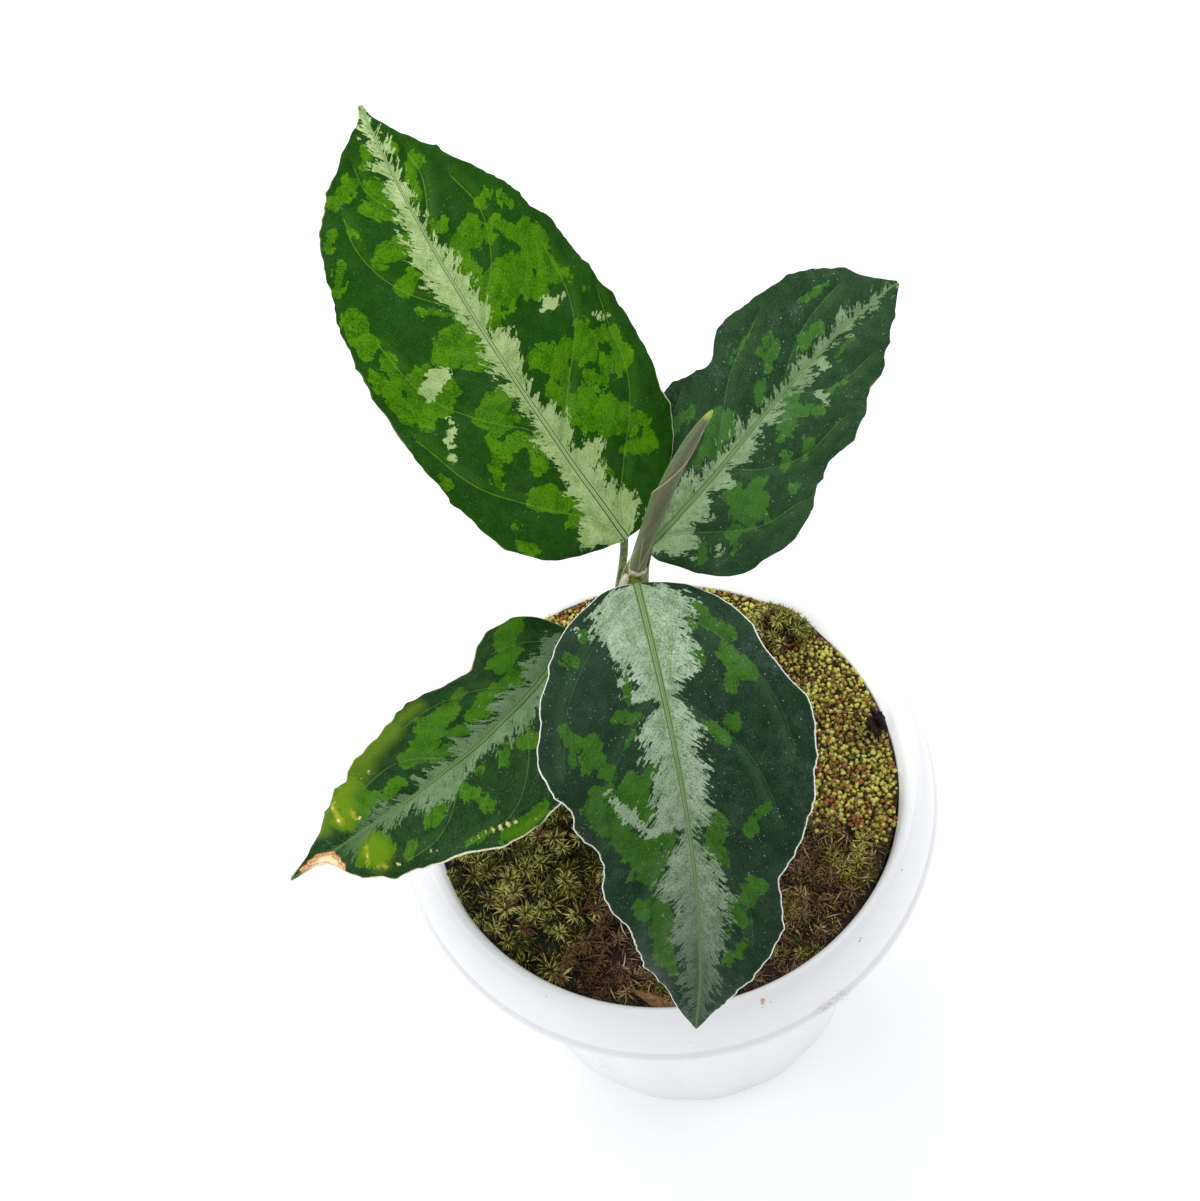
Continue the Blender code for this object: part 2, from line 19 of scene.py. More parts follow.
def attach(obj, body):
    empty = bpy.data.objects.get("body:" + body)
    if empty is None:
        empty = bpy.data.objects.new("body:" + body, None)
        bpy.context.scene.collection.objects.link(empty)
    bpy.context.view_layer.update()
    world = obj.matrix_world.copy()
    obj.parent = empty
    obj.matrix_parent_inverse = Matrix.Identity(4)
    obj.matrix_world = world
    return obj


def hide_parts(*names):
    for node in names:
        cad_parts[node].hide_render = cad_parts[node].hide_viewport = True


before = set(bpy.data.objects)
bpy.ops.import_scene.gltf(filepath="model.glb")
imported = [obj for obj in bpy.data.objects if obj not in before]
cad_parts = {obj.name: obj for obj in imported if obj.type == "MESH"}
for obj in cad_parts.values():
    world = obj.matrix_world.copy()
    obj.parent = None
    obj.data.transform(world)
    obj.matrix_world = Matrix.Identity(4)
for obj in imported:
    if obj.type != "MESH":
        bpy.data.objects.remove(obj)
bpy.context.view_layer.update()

LOG = logging.getLogger("aglaonema")
MM = 0.001
TURN = 2 * math.pi
UP = np.array([0.0, 0.0, 1.0])
CENTRE = (0.0, 0.0, 0.0)

# Sizes that several parts share, in millimetres
FAR = 9.0  # distance on a leaf past which its finish no longer changes
SEAT_GAP = 0.3  # between parts that touch
WALL_RADIUS = 51.5  # of the pot's inner wall, at the soil
SOIL_EDGE_HEIGHT = 96.4
SOIL_DOME_HEIGHT = 1.6

Points = tuple[tuple[float, ...], ...]
Stroke = tuple[float, float, float, float, float]
Colour = tuple[float, float, float]
Keep = Callable[[np.ndarray, np.ndarray], np.ndarray]


# Numbers and curves


def linear(red: float, green: float, blue: float) -> Colour:
    """Turns a display colour of 0 to 255 into the linear values that shaders use."""
    shares = (red / 255.0, green / 255.0, blue / 255.0)
    return tuple(s / 12.92 if s <= 0.04045 else ((s + 0.055) / 1.055) ** 2.4 for s in shares)


def unit(vectors: np.ndarray) -> np.ndarray:
    """Scales vectors to length one."""
    return vectors / np.linalg.norm(vectors, axis=-1, keepdims=True)


def bezier(control: Points, at: Union[float, np.ndarray]) -> np.ndarray:
    """Points on a cubic curve with four control points."""
    a, b, c, d = np.array(control, float)
    t = np.asarray(at, float)[..., None]
    return (1 - t) ** 3 * a + 3 * (1 - t) ** 2 * t * b + 3 * (1 - t) * t**2 * c + t**3 * d


def bezier_slope(control: Points, at: Union[float, np.ndarray]) -> np.ndarray:
    """Slopes of a cubic curve with four control points."""
    a, b, c, d = np.array(control, float)
    t = np.asarray(at, float)[..., None]
    return 3 * ((1 - t) ** 2 * (b - a) + 2 * (1 - t) * t * (c - b) + t**2 * (d - c))


def smooth_values(points: Points, at: np.ndarray) -> np.ndarray:
    """Values of a smooth curve through (place, value) points.

    Args:
        points: The (place, value) pairs, in order of place.
        at: Places to read.

    Returns:
        One value for each place.
    """
    places, values = np.array(points, float).T
    slopes = np.gradient(values, places)
    at = np.asarray(at, float)
    left = np.clip(np.searchsorted(places, at) - 1, 0, len(places) - 2)
    span = places[left + 1] - places[left]
    step = (at - places[left]) / span
    keep = (1 + 2 * step) * (1 - step) ** 2 * values[left] + step**2 * (3 - 2 * step) * values[left + 1]
    bend = step * (1 - step) ** 2 * slopes[left] - step**2 * (1 - step) * slopes[left + 1]
    return keep + span * bend


def from_segment(
    s: np.ndarray, w: np.ndarray, start: Sequence[float], run: float, rise: float
) -> tuple[np.ndarray, np.ndarray]:
    """Offsets of places on a leaf from the nearest point of a straight line."""
    off_s, off_w = s - start[0], w - start[1]
    share = np.clip((off_s * run + off_w * rise) / max(run * run + rise * rise, 1e-6), 0.0, 1.0)
    return off_s - share * run, off_w - share * rise


def stroke_depth(strokes: Sequence[Stroke], s: np.ndarray, w: np.ndarray) -> np.ndarray:
    """How deep places lie inside a set of round-ended strokes, negative outside them all."""
    depth = np.full(s.shape, -FAR)
    for s1, w1, s2, w2, half in strokes:
        depth = np.maximum(depth, half - np.hypot(*from_segment(s, w, (s1, w1), s2 - s1, w2 - w1)))
    return depth


def line_offsets(lines: Sequence[Points], s: np.ndarray, w: np.ndarray) -> tuple[np.ndarray, np.ndarray]:
    """Distance from places to the nearest of some bent lines.

    Args:
        lines: Each a row of (along, across) points.
        s: Distances along the leaf.
        w: Distances across the leaf.

    Returns:
        Distance for each place, at most FAR, and the same below 0 on one side of the line.
    """
    nearest = np.full(s.shape, FAR)
    signed = nearest.copy()
    for line in lines:
        ends = np.array(line, float)
        rows = np.arange(len(ends), dtype=float)
        steps = np.linspace(0.0, len(ends) - 1.0, 5 * (len(ends) - 1) + 1)
        along, across = (smooth_values(tuple(zip(rows, part)), steps) for part in ends.T)
        for s1, w1, run, rise in zip(along, across, np.diff(along), np.diff(across)):
            off_s, off_w = from_segment(s, w, (s1, w1), run, rise)
            gap = np.hypot(off_s, off_w)
            signed = np.where(gap < nearest, gap * np.sign(run * off_w - rise * off_s), signed)
            nearest = np.minimum(nearest, gap)
    return nearest, signed


@dataclass(frozen=True)
class Ripple:
    """A smooth random relief: seeded waves that cross each other, from about -1 to 1."""

    seed: int
    wave_length: float
    waves: int = 9

    def at(self, x: np.ndarray, y: np.ndarray) -> np.ndarray:
        """Height of the relief."""
        draw = np.random.default_rng(self.seed)
        total = np.zeros(np.broadcast(x, y).shape)
        for _ in range(self.waves):
            angle, phase = draw.uniform(0, TURN, 2)
            pace = TURN / (self.wave_length * draw.uniform(0.7, 1.5))
            total += np.sin(pace * (x * math.cos(angle) + y * math.sin(angle)) + phase)
        return total / math.sqrt(2.0 * self.waves)


# Objects and meshes


def fresh(operator: Callable[..., Any], name: str, **settings: Any) -> bpy.types.Object:
    """Adds a primitive with nothing else selected."""
    bpy.ops.object.select_all(action="DESELECT")
    operator(**settings)
    made = bpy.context.active_object
    made.name = name
    made.data.name = name
    return made


def pick(*objects: bpy.types.Object) -> None:
    """Selects these objects alone and makes the first one active."""
    bpy.ops.object.select_all(action="DESELECT")
    for each in objects:
        each.select_set(True)
    bpy.context.view_layer.objects.active = objects[0]


def coordinates(obj: bpy.types.Object) -> np.ndarray:
    """Reads an object's points in millimetres."""
    flat = np.empty(3 * len(obj.data.vertices), np.float32)
    obj.data.vertices.foreach_get("co", flat)
    return flat.reshape(-1, 3).astype(float) / MM


def place(obj: bpy.types.Object, points: np.ndarray) -> None:
    """Writes an object's points from millimetres."""
    obj.data.vertices.foreach_set("co", (points * MM).astype(np.float32).ravel())
    obj.data.update()


def mark(obj: bpy.types.Object, name: str, values: np.ndarray) -> None:
    """Stores one number or one vector for each vertex under a name."""
    kind = "FLOAT" if values.ndim == 1 else "FLOAT_VECTOR"
    layer = obj.data.attributes.new(name, kind, "POINT")
    layer.data.foreach_set("value" if values.ndim == 1 else "vector", values.astype(np.float32).ravel())


def apply_modifier(obj: bpy.types.Object, kind: str, **settings: Any) -> None:
    """Adds a modifier, sets it and applies it."""
    pick(obj)
    modifier = obj.modifiers.new(kind.lower(), kind)
    for key, value in settings.items():
        setattr(modifier, key, value)
    bpy.ops.object.modifier_apply(modifier=modifier.name)


def smooth(obj: bpy.types.Object, angle: float = 45.0) -> None:
    """Shades an object smooth, but sharp across edges over an angle."""
    pick(obj)
    bpy.ops.object.shade_smooth_by_angle(angle=math.radians(angle))


def join(name: str, *parts: bpy.types.Object) -> bpy.types.Object:
    """Joins objects into one under a new name."""
    pick(*parts)
    bpy.ops.object.join()
    whole = bpy.context.active_object
    whole.name = name
    return whole


def outward(obj: bpy.types.Object) -> None:
    """Merges doubles and turns the faces of a closed shape outwards."""
    pick(obj)
    bpy.ops.object.mode_set(mode="EDIT")
    bpy.ops.mesh.select_all(action="SELECT")
    bpy.ops.mesh.remove_doubles(threshold=0.02 * MM)
    bpy.ops.mesh.normals_make_consistent(inside=False)
    bpy.ops.object.mode_set(mode="OBJECT")


def thicken(obj: bpy.types.Object, thickness: float, offset: float) -> None:
    """Turns a sheet into a thin closed shell."""
    apply_modifier(obj, "SOLIDIFY", thickness=thickness * MM, offset=offset)
    outward(obj)


def tube(name: str, path: np.ndarray, radii: np.ndarray, resolution: int) -> bpy.types.Object:
    """Round tube along points, with closed ends.

    Args:
        name: Name of the new object.
        path: One row for each point of the path.
        radii: One radius for each point.
        resolution: Blender's bevel resolution.

    Returns:
        The tube as a mesh object.
    """
    obj = fresh(bpy.ops.curve.primitive_nurbs_path_add, name)
    curve = obj.data
    curve.splines.clear()
    curve.dimensions = "3D"
    curve.bevel_depth = MM
    curve.bevel_resolution = resolution
    curve.use_fill_caps = True
    spline = curve.splines.new("POLY")
    spline.points.add(len(path) - 1)
    for point, place_on, radius in zip(spline.points, path, radii):
        point.co = (*(place_on * MM), 1.0)
        point.radius = radius
    bpy.ops.object.convert(target="MESH")
    obj = bpy.context.active_object
    obj.location = CENTRE
    outward(obj)
    return obj


def grid(name: str, across: int, along: int) -> tuple[bpy.types.Object, np.ndarray, np.ndarray]:
    """Flat grid of faces, ready to be shaped.

    Args:
        name: Name of the new object.
        across: Faces along its first side.
        along: Faces along its second side.

    Returns:
        The object, and for each vertex its place from -1 to 1 and from 0 to 1.
    """
    obj = fresh(
        bpy.ops.mesh.primitive_grid_add,
        name,
        x_subdivisions=across,
        y_subdivisions=along,
        size=2.0,
        location=CENTRE,
    )
    flat = coordinates(obj) * MM
    return obj, flat[:, 0], 0.5 * (flat[:, 1] + 1.0)


def dress(obj: bpy.types.Object, material: bpy.types.Material) -> None:
    """Gives an object one material."""
    obj.data.materials.clear()
    obj.data.materials.append(material)


def hand_over(piece: bpy.types.Object, slot: str, *nodes: str) -> None:
    """Gives a finished piece its body and hides the nodes that it stands for."""
    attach(piece, "root")
    if nodes:
        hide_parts(*nodes)
    LOG.info("%s: %d faces", piece.name, len(piece.data.polygons))


# Shader arithmetic


class Signal:
    """A shader socket that takes part in Python expressions."""

    def __init__(self, paint: "Paint", socket: bpy.types.NodeSocket) -> None:
        """Wraps one output socket of a paint's node tree."""
        self.paint = paint
        self.socket = socket

    def _with(self, operation: str, first: "Number", second: "Number") -> "Signal":
        """Adds one Math node."""
        return self.paint.node("ShaderNodeMath", {"operation": operation}, {0: first, 1: second})

    def __add__(self, other: "Number") -> "Signal":
        """Sum."""
        return self._with("ADD", self, other)

    __radd__ = __add__

    def __sub__(self, other: "Number") -> "Signal":
        """Difference."""
        return self._with("SUBTRACT", self, other)

    def __rsub__(self, other: "Number") -> "Signal":
        """Difference, from the other side."""
        return self._with("SUBTRACT", other, self)

    def __mul__(self, other: "Number") -> "Signal":
        """Product."""
        return self._with("MULTIPLY", self, other)

    __rmul__ = __mul__

    def __abs__(self) -> "Signal":
        """Size without its sign."""
        return self._with("ABSOLUTE", self, 0.0)

    def least(self, other: "Number") -> "Signal":
        """The smaller of two values."""
        return self._with("MINIMUM", self, other)

    def most(self, other: "Number") -> "Signal":
        """The larger of two values."""
        return self._with("MAXIMUM", self, other)

    def step(self, low: float, high: float) -> "Signal":
        """Soft step."""
        settings = {"interpolation_type": "SMOOTHSTEP"}
        return self.paint.node("ShaderNodeMapRange", settings, {0: self, 1: low, 2: high})


Number = Union[float, Signal]


class Paint:
    """One material's node tree, with short ways to the nodes that it uses."""

    def __init__(self, name: str) -> None:
        """Starts a material with a Principled shader."""
        self.material = bpy.data.materials.new(name)
        self.material.use_nodes = True
        self.tree = self.material.node_tree
        self.shader = self.tree.nodes["Principled BSDF"]

    def node(
        self,
        kind: str,
        settings: dict[str, Any],
        inputs: dict[Union[int, str], Any],
        output: Union[int, str] = 0,
    ) -> Signal:
        """Adds a node.

        Args:
            kind: Blender's node type.
            settings: Its properties, with a ramp's stops under "stops".
            inputs: Values or signals for its sockets.
            output: Which output to return.

        Returns:
            The output as a signal.
        """
        made = self.tree.nodes.new(kind)
        for key, value in settings.items():
            if key == "stops":
                self._stops(made.color_ramp, value)
            else:
                setattr(made, key, value)
        for key, value in inputs.items():
            if isinstance(value, Signal):
                self.tree.links.new(value.socket, made.inputs[key])
            else:
                made.inputs[key].default_value = value
        return Signal(self, made.outputs[output])

    @staticmethod
    def _stops(ramp: bpy.types.ColorRamp, stops: Sequence[tuple[float, Colour]]) -> None:
        """Sets a ramp's stops."""
        while len(ramp.elements) < len(stops):
            ramp.elements.new(0.5)
        for element, (position, colour) in zip(ramp.elements, stops):
            element.position = position
            element.color = (*colour, 1.0)

    def number(self, name: str) -> Signal:
        """Number stored on the vertices."""
        return self.node("ShaderNodeAttribute", {"attribute_name": name}, {}, "Fac")

    def vector(self, name: str) -> Signal:
        """Vector stored on the vertices."""
        return self.node("ShaderNodeAttribute", {"attribute_name": name}, {}, "Vector")

    def object_place(self) -> Signal:
        """Place in the object's own frame, in millimetres."""
        place_in = self.node("ShaderNodeTexCoord", {}, {}, "Object")
        return self.stretch(place_in, (1.0 / MM, 1.0 / MM, 1.0 / MM))

    def axis(self, vector: Signal, which: int) -> Signal:
        """One part of a vector, from 0 for X to 2 for Z."""
        return self.node("ShaderNodeSeparateXYZ", {}, {0: vector}, which)

    def gap(self, where: Signal, spot: Sequence[float]) -> Signal:
        """Distance from a spot."""
        return self.node("ShaderNodeVectorMath", {"operation": "DISTANCE"}, {0: where, 1: spot}, "Value")

    def stretch(self, vector: Signal, by: Sequence[float]) -> Signal:
        """Multiplies a vector, axis by axis."""
        return self.node("ShaderNodeVectorMath", {"operation": "MULTIPLY"}, {0: vector, 1: by})

    def noise(self, where: Signal, scale: float, detail: float = 2.0, rough: float = 0.5) -> Signal:
        """Smooth noise centred on 0."""
        inputs = {"Vector": where, "Scale": scale, "Detail": detail, "Roughness": rough}
        return self.node("ShaderNodeTexNoise", {}, inputs, 0) - 0.5

    def cells(self, where: Signal, scale: float) -> Signal:
        """One random value from -0.5 to 0.5 for each small square cell."""
        square = {"distance": "CHEBYCHEV"}
        colour = self.node("ShaderNodeTexVoronoi", square, {"Vector": where, "Scale": scale}, "Color")
        return self.node("ShaderNodeSeparateColor", {}, {0: colour}, 0) - 0.5

    def dots(self, where: Signal, scale: float) -> Signal:
        """Distance to the nearest of many scattered dots, in cell widths."""
        return self.node("ShaderNodeTexVoronoi", {}, {"Vector": where, "Scale": scale}, "Distance")

    def mix(self, share: Number, first: Union[Colour, Signal], second: Union[Colour, Signal]) -> Signal:
        """Mixes two colours."""
        first = first if isinstance(first, Signal) else (*first, 1.0)
        second = second if isinstance(second, Signal) else (*second, 1.0)
        return self.node("ShaderNodeMix", {"data_type": "RGBA"}, {0: share, 6: first, 7: second}, 2)

    def ramp(self, value: Signal, stops: Sequence[tuple[float, Colour]]) -> Signal:
        """Colour for a value from 0 to 1."""
        return self.node("ShaderNodeValToRGB", {"stops": stops}, {0: value}, 0)

    def bump(self, height: Signal, strength: float, depth: float) -> Signal:
        """Surface relief."""
        inputs = {"Strength": strength, "Distance": depth * MM, "Height": height}
        return self.node("ShaderNodeBump", {}, inputs, 0)

    def finish(
        self,
        colour: Union[Colour, Signal],
        roughness: Number,
        normal: Optional[Signal] = None,
        **more: Any,
    ) -> bpy.types.Material:
        """Feeds the Principled shader.

        Args:
            colour: Base colour.
            roughness: Roughness.
            normal: Normal, if the surface has relief.
            **more: Values of other sockets, with underscores for the spaces of their names.

        Returns:
            The finished material.
        """
        values: dict[str, Any] = {"Base Color": colour, "Roughness": roughness}
        if normal is not None:
            values["Normal"] = normal
        values.update({key.replace("_", " "): value for key, value in more.items()})
        for key, value in values.items():
            socket = self.shader.inputs[key]
            if isinstance(value, Signal):
                self.tree.links.new(value.socket, socket)
            elif isinstance(value, tuple):
                socket.default_value = (*value, 1.0)
            else:
                socket.default_value = value
        return self.material


# Finishes


@dataclass(frozen=True)
class LeafFinish:
    """A leaf: deep green, blocky green patches and a feathered silver band."""

    name: str
    deep: Colour
    shade: Colour
    patch: Colour
    patch_light: Colour
    silver: Colour
    silver_light: Colour
    vein: Colour
    rib: Colour
    groove: Colour
    margin: Colour
    margin_share: float
    # How much dust and specks the leaf shows, and also how strong its painted sheen is
    dust_and_sheen: float
    ragged: float = 7.0
    vein_share: float = 0.5
    roughness: float = 0.4
    margin_width: float = 0.3
    sheen: float = 0.1
    cloud: float = 0.9
    # Colour of the painted highlight along the margin
    lit_margin: Colour = linear(240, 240, 222)
    dust_tint: Colour = linear(186, 198, 188)
    speck_tint: Colour = linear(172, 188, 174)
    # Tint of the painted sheen
    painted_sheen_tint: Colour = linear(150, 165, 150)

    def material(self) -> bpy.types.Material:
        """Material of the leaf.

        Returns:
            The finished material.
        """
        p = Paint(self.name)
        flow = p.vector("flow")
        depth, dim, lit, rib = (p.number(name) for name in ("band", "dim", "lit", "rib"))
        vein, side = p.number("vein"), p.number("vein_side")
        lump = p.noise(flow, 0.42, 2.0)
        fine = p.noise(flow, 2.3, 2.0, 0.6)
        grain = p.noise(flow, 3.6, 2.0, 0.65)
        fleck = p.noise(p.stretch(flow, (1.1, 0.5, 1.0)), 1.0, 3.0, 0.62)
        slit = p.noise(p.stretch(flow, (2.2, 0.42, 1.0)), 1.0, 3.0, 0.65)
        chip, small_chip, block, small_block = (
            p.cells(p.stretch(flow, (1.0, narrow, 1.0)), scale)
            for narrow, scale in ((0.42, 0.75), (0.5, 2.0), (0.7, 0.6), (0.6, 1.6))
        )
        band = depth + fleck * (0.42 * self.ragged) + slit * (0.4 * self.ragged)
        band = band + chip * 2.8 + small_chip * 1.7
        patch = p.number("patch") + lump * 0.45 + block * 1.1 + small_block * 0.4 + fine * 0.15 + 0.15
        pale = p.number("pale") + lump * 0.8 + block * 0.8 + small_block * 0.9 + fine * 0.5
        # Deep green, and the green patches with their holes
        few = p.noise(flow, 0.13, 1.0).step(-0.03, 0.06)
        holes = (0.2 - p.dots(flow, 0.85) + fine * 0.25).step(0.0, 0.04) * few
        shading = (lump * 1.2 + fine * 1.1 + grain * 1.5 + 0.5).step(0.1, 0.9)
        mottle = (block * 0.3 + fine * 1.1 + grain * 1.0 + lump * 0.6 + 0.5).step(0.1, 0.9)
        bright = p.mix(holes * 0.7, p.mix(mottle, self.patch, self.patch_light), self.deep)
        shown = patch.step(-0.04, 0.04)
        colour = p.mix(shown, p.mix(shading, self.deep, self.shade), bright)
        # Silver band, cut by slits and specks, and the pale strokes
        tone = slit * 0.4 + lump * self.cloud + block * 0.2 + fine * 1.0 + grain * 1.2 + 0.5
        tone = tone.step(0.05, 0.95)
        silver = p.mix(dim, p.mix(tone, self.silver, self.silver_light), self.shade)
        cuts = (fine * 0.25 - slit - depth * 0.018).step(0.08, 0.12)
        speck = (fine * 1.3 + grain - depth * 0.06).step(0.2, 0.28)
        silver = p.mix(cuts.most(speck * 0.8), silver, self.deep)
        colour = p.mix(band.step(-0.08, 0.08), colour, silver)
        faint = p.mix(tone * 0.7 + 0.1, self.silver, self.silver_light)
        colour = p.mix(pale.step(-0.08, 0.12) * 0.9, colour, faint)
        # Side veins, lit on one flank and shaded on the other
        near = 1.0 - vein.step(0.8, 1.1)
        line = 1.0 - abs(side + fine * 0.1).step(0.06, 0.2)
        colour = p.mix(near * line * (lump * 1.4 + 0.9).least(1.0) * self.vein_share, colour, self.vein)
        flank = side + lump * 0.8
        sunlit = flank.step(0.1, 0.7) * (1.0 - flank.step(0.8, 3.0))
        shaded = (0.0 - flank).step(0.1, 0.5) * (1.0 - (0.0 - flank).step(0.5, 2.0))
        colour = p.mix(near.most(1.0 - vein.step(2.0, 3.4)) * sunlit * 0.12, colour, self.vein)
        colour = p.mix(shaded * 0.22, colour, self.deep)
        # Midrib
        half = tuple(0.55 * a + 0.45 * b for a, b in zip(self.rib, self.groove))
        stops = ((0.0, half), (0.04, half), (0.1, self.rib), (0.3, self.rib), (0.4, self.groove))
        stops += ((0.55, self.groove), (0.66, self.rib), (0.8, self.rib))
        colour = p.mix((1.0 - rib.step(0.6, 0.95)) * (0.9 - dim * 0.45), colour, p.ramp(rib, stops))
        colour = self.extra(p, colour, shown, flow, fine)
        # Pale margin, with a painted highlight along it where the lit mark is set
        edge = (p.number("margin") + fine * 0.3).step(0.05, self.margin_width)
        here = (p.noise(flow, 0.09, 2.0) * 2.2 + lit + self.margin_share).step(0.3, 0.7)
        colour = p.mix((1.0 - edge) * here, colour, p.mix(lit, self.margin, self.lit_margin))
        # Dust and specks, and a painted sheen in soft pale patches that grows with the dust
        dust_and_sheen = (0.09 + fine * 0.12 - p.dots(flow, 1.5)).step(0.0, 0.02)
        dust_and_sheen = dust_and_sheen * p.noise(flow, 0.2, 1.0).step(-0.15, 0.15)
        specks = (0.11 + grain * 0.12 - p.dots(flow, 0.8)).step(0.0, 0.04)
        specks = specks * p.noise(flow, 0.11, 1.0).step(-0.1, 0.2)
        # The haze is partly a dust film and partly a painted sheen
        haze = (p.noise(flow, 0.12, 3.0, 0.65) + grain * 0.5).step(0.02, 0.4)
        colour = p.mix(dust_and_sheen * min(1.0, 1.6 * self.dust_and_sheen), colour, self.dust_tint)
        colour = p.mix(specks * min(1.0, 1.2 * self.dust_and_sheen), colour, self.speck_tint)
        colour = p.mix(haze * 0.22 * self.dust_and_sheen, colour, self.painted_sheen_tint)
        height = fine * 0.5 + grain * 0.45 + p.noise(flow, 0.9, 2.0) * 0.9
        rough = haze * 0.15 + grain * 0.12 + self.roughness
        return p.finish(colour, rough, p.bump(height, 0.7, 0.2), Specular_IOR_Level=self.sheen)

    def extra(self, p: Paint, colour: Signal, shown: Signal, flow: Signal, fine: Signal) -> Signal:
        """Marks of this leaf alone, none by default."""
        return colour


@dataclass(frozen=True)
class AgeingLeafFinish(LeafFinish):
    """A leaf that yellows towards its tip, with cream spots and a burnt notch."""

    def extra(self, p: Paint, colour: Signal, shown: Signal, flow: Signal, fine: Signal) -> Signal:
        """Adds the yellowing, the cream spots and the burnt notch.

        Args:
            p: The paint to add nodes to.
            colour: Colour so far.
            shown: Where the green patches show.
            flow: Leaf coordinates.
            fine: Fine noise.

        Returns:
            The changed colour.
        """
        yellow = (p.number("yellow") + fine * 0.6 + p.noise(flow, 0.3, 2.0) * 1.0).step(-2.0, 1.4)
        colour = p.mix(yellow * (shown * 0.2 + 0.62), colour, linear(106, 140, 8))
        gold = (p.number("gold") + fine * 1.4 + p.noise(flow, 1.1, 2.0) * 1.6).step(-0.5, 0.5)
        colour = p.mix(gold * 0.75, colour, linear(176, 172, 44))
        cream = (p.number("cream") + fine * 0.5).step(-0.06, 0.2)
        colour = p.mix(cream * 0.9, colour, linear(232, 216, 140))
        burn = p.number("burn") + fine * 0.22
        colour = p.mix(burn.step(-0.2, -0.08), colour, linear(164, 92, 34))
        ring = p.node("ShaderNodeMath", {"operation": "SINE"}, {0: burn * 3.6 + fine * 7.0})
        rings = (ring * 0.4 + fine * 1.4 + 0.35).step(0.1, 0.9)
        dry = p.mix(rings, linear(242, 224, 176), linear(190, 132, 84))
        return p.mix(burn.step(0.0, 0.16), colour, dry)


@dataclass(frozen=True)
class PetioleFinish:
    """Leaf stalk: pale green with long faint streaks."""

    name: str = "petiole"
    low: Colour = linear(78, 104, 52)
    high: Colour = linear(130, 150, 98)

    def material(self) -> bpy.types.Material:
        """Material of the stalk."""
        p = Paint(self.name)
        where = p.object_place()
        streak = p.noise(p.stretch(where, (1.6, 1.6, 0.18)), 1.0, 3.0, 0.6)
        fine = p.noise(where, 3.0, 2.0)
        colour = p.mix((streak * 2.6 + 0.5).step(0.1, 0.9), self.low, self.high)
        return p.finish(colour, 0.42, p.bump(streak + fine * 0.5, 0.4, 0.12), Specular_IOR_Level=0.3)


@dataclass(frozen=True)
class SheathFinish:
    """Thin sheath round the stem: pale green with a cream membrane along its margins."""

    name: str = "sheath"

    def material(self) -> bpy.types.Material:
        """Material of the sheath."""
        p = Paint(self.name)
        where = p.object_place()
        streak = p.noise(p.stretch(where, (1.4, 1.4, 0.15)), 1.0, 3.0, 0.6)
        edge = (abs(p.number("across")) + streak * 0.2).step(0.55, 0.9)
        green = p.mix(streak * 1.6 + 0.5, linear(104, 128, 66), linear(150, 166, 110))
        cream = p.mix((streak * 2.4 + 0.4).step(0.2, 0.9), linear(222, 218, 198), linear(196, 160, 134))
        colour = p.mix(edge, green, cream)
        return p.finish(colour, 0.5, p.bump(streak, 0.4, 0.12), Specular_IOR_Level=0.3)


@dataclass(frozen=True)
class CaneFinish:
    """Stem: mottled green and cream, browner towards the soil."""

    name: str = "cane"

    def material(self) -> bpy.types.Material:
        """Material of the stem.

        Returns:
            The finished material.
        """
        p = Paint(self.name)
        where = p.object_place()
        lump = p.noise(where, 0.5, 3.0, 0.6)
        fine = p.noise(where, 2.2, 3.0, 0.65)
        height = p.axis(where, 2)
        green = p.mix((fine * 2.0 + 0.5).step(0.2, 0.8), linear(62, 86, 30), linear(112, 128, 54))
        green = p.mix((lump + fine * 0.6).step(0.08, 0.2), green, linear(198, 196, 140))
        low = (height + lump * 14.0).step(108.0, 126.0)
        colour = p.mix(low, p.mix(fine + 0.5, linear(92, 70, 44), linear(128, 104, 66)), green)
        ring = 1.0 - p.number("scar").step(0.15, 0.6)
        colour = p.mix(ring * 0.7, colour, linear(148, 128, 88))
        return p.finish(colour, 0.55, p.bump(lump + fine, 0.5, 0.25), IOR=1.4)


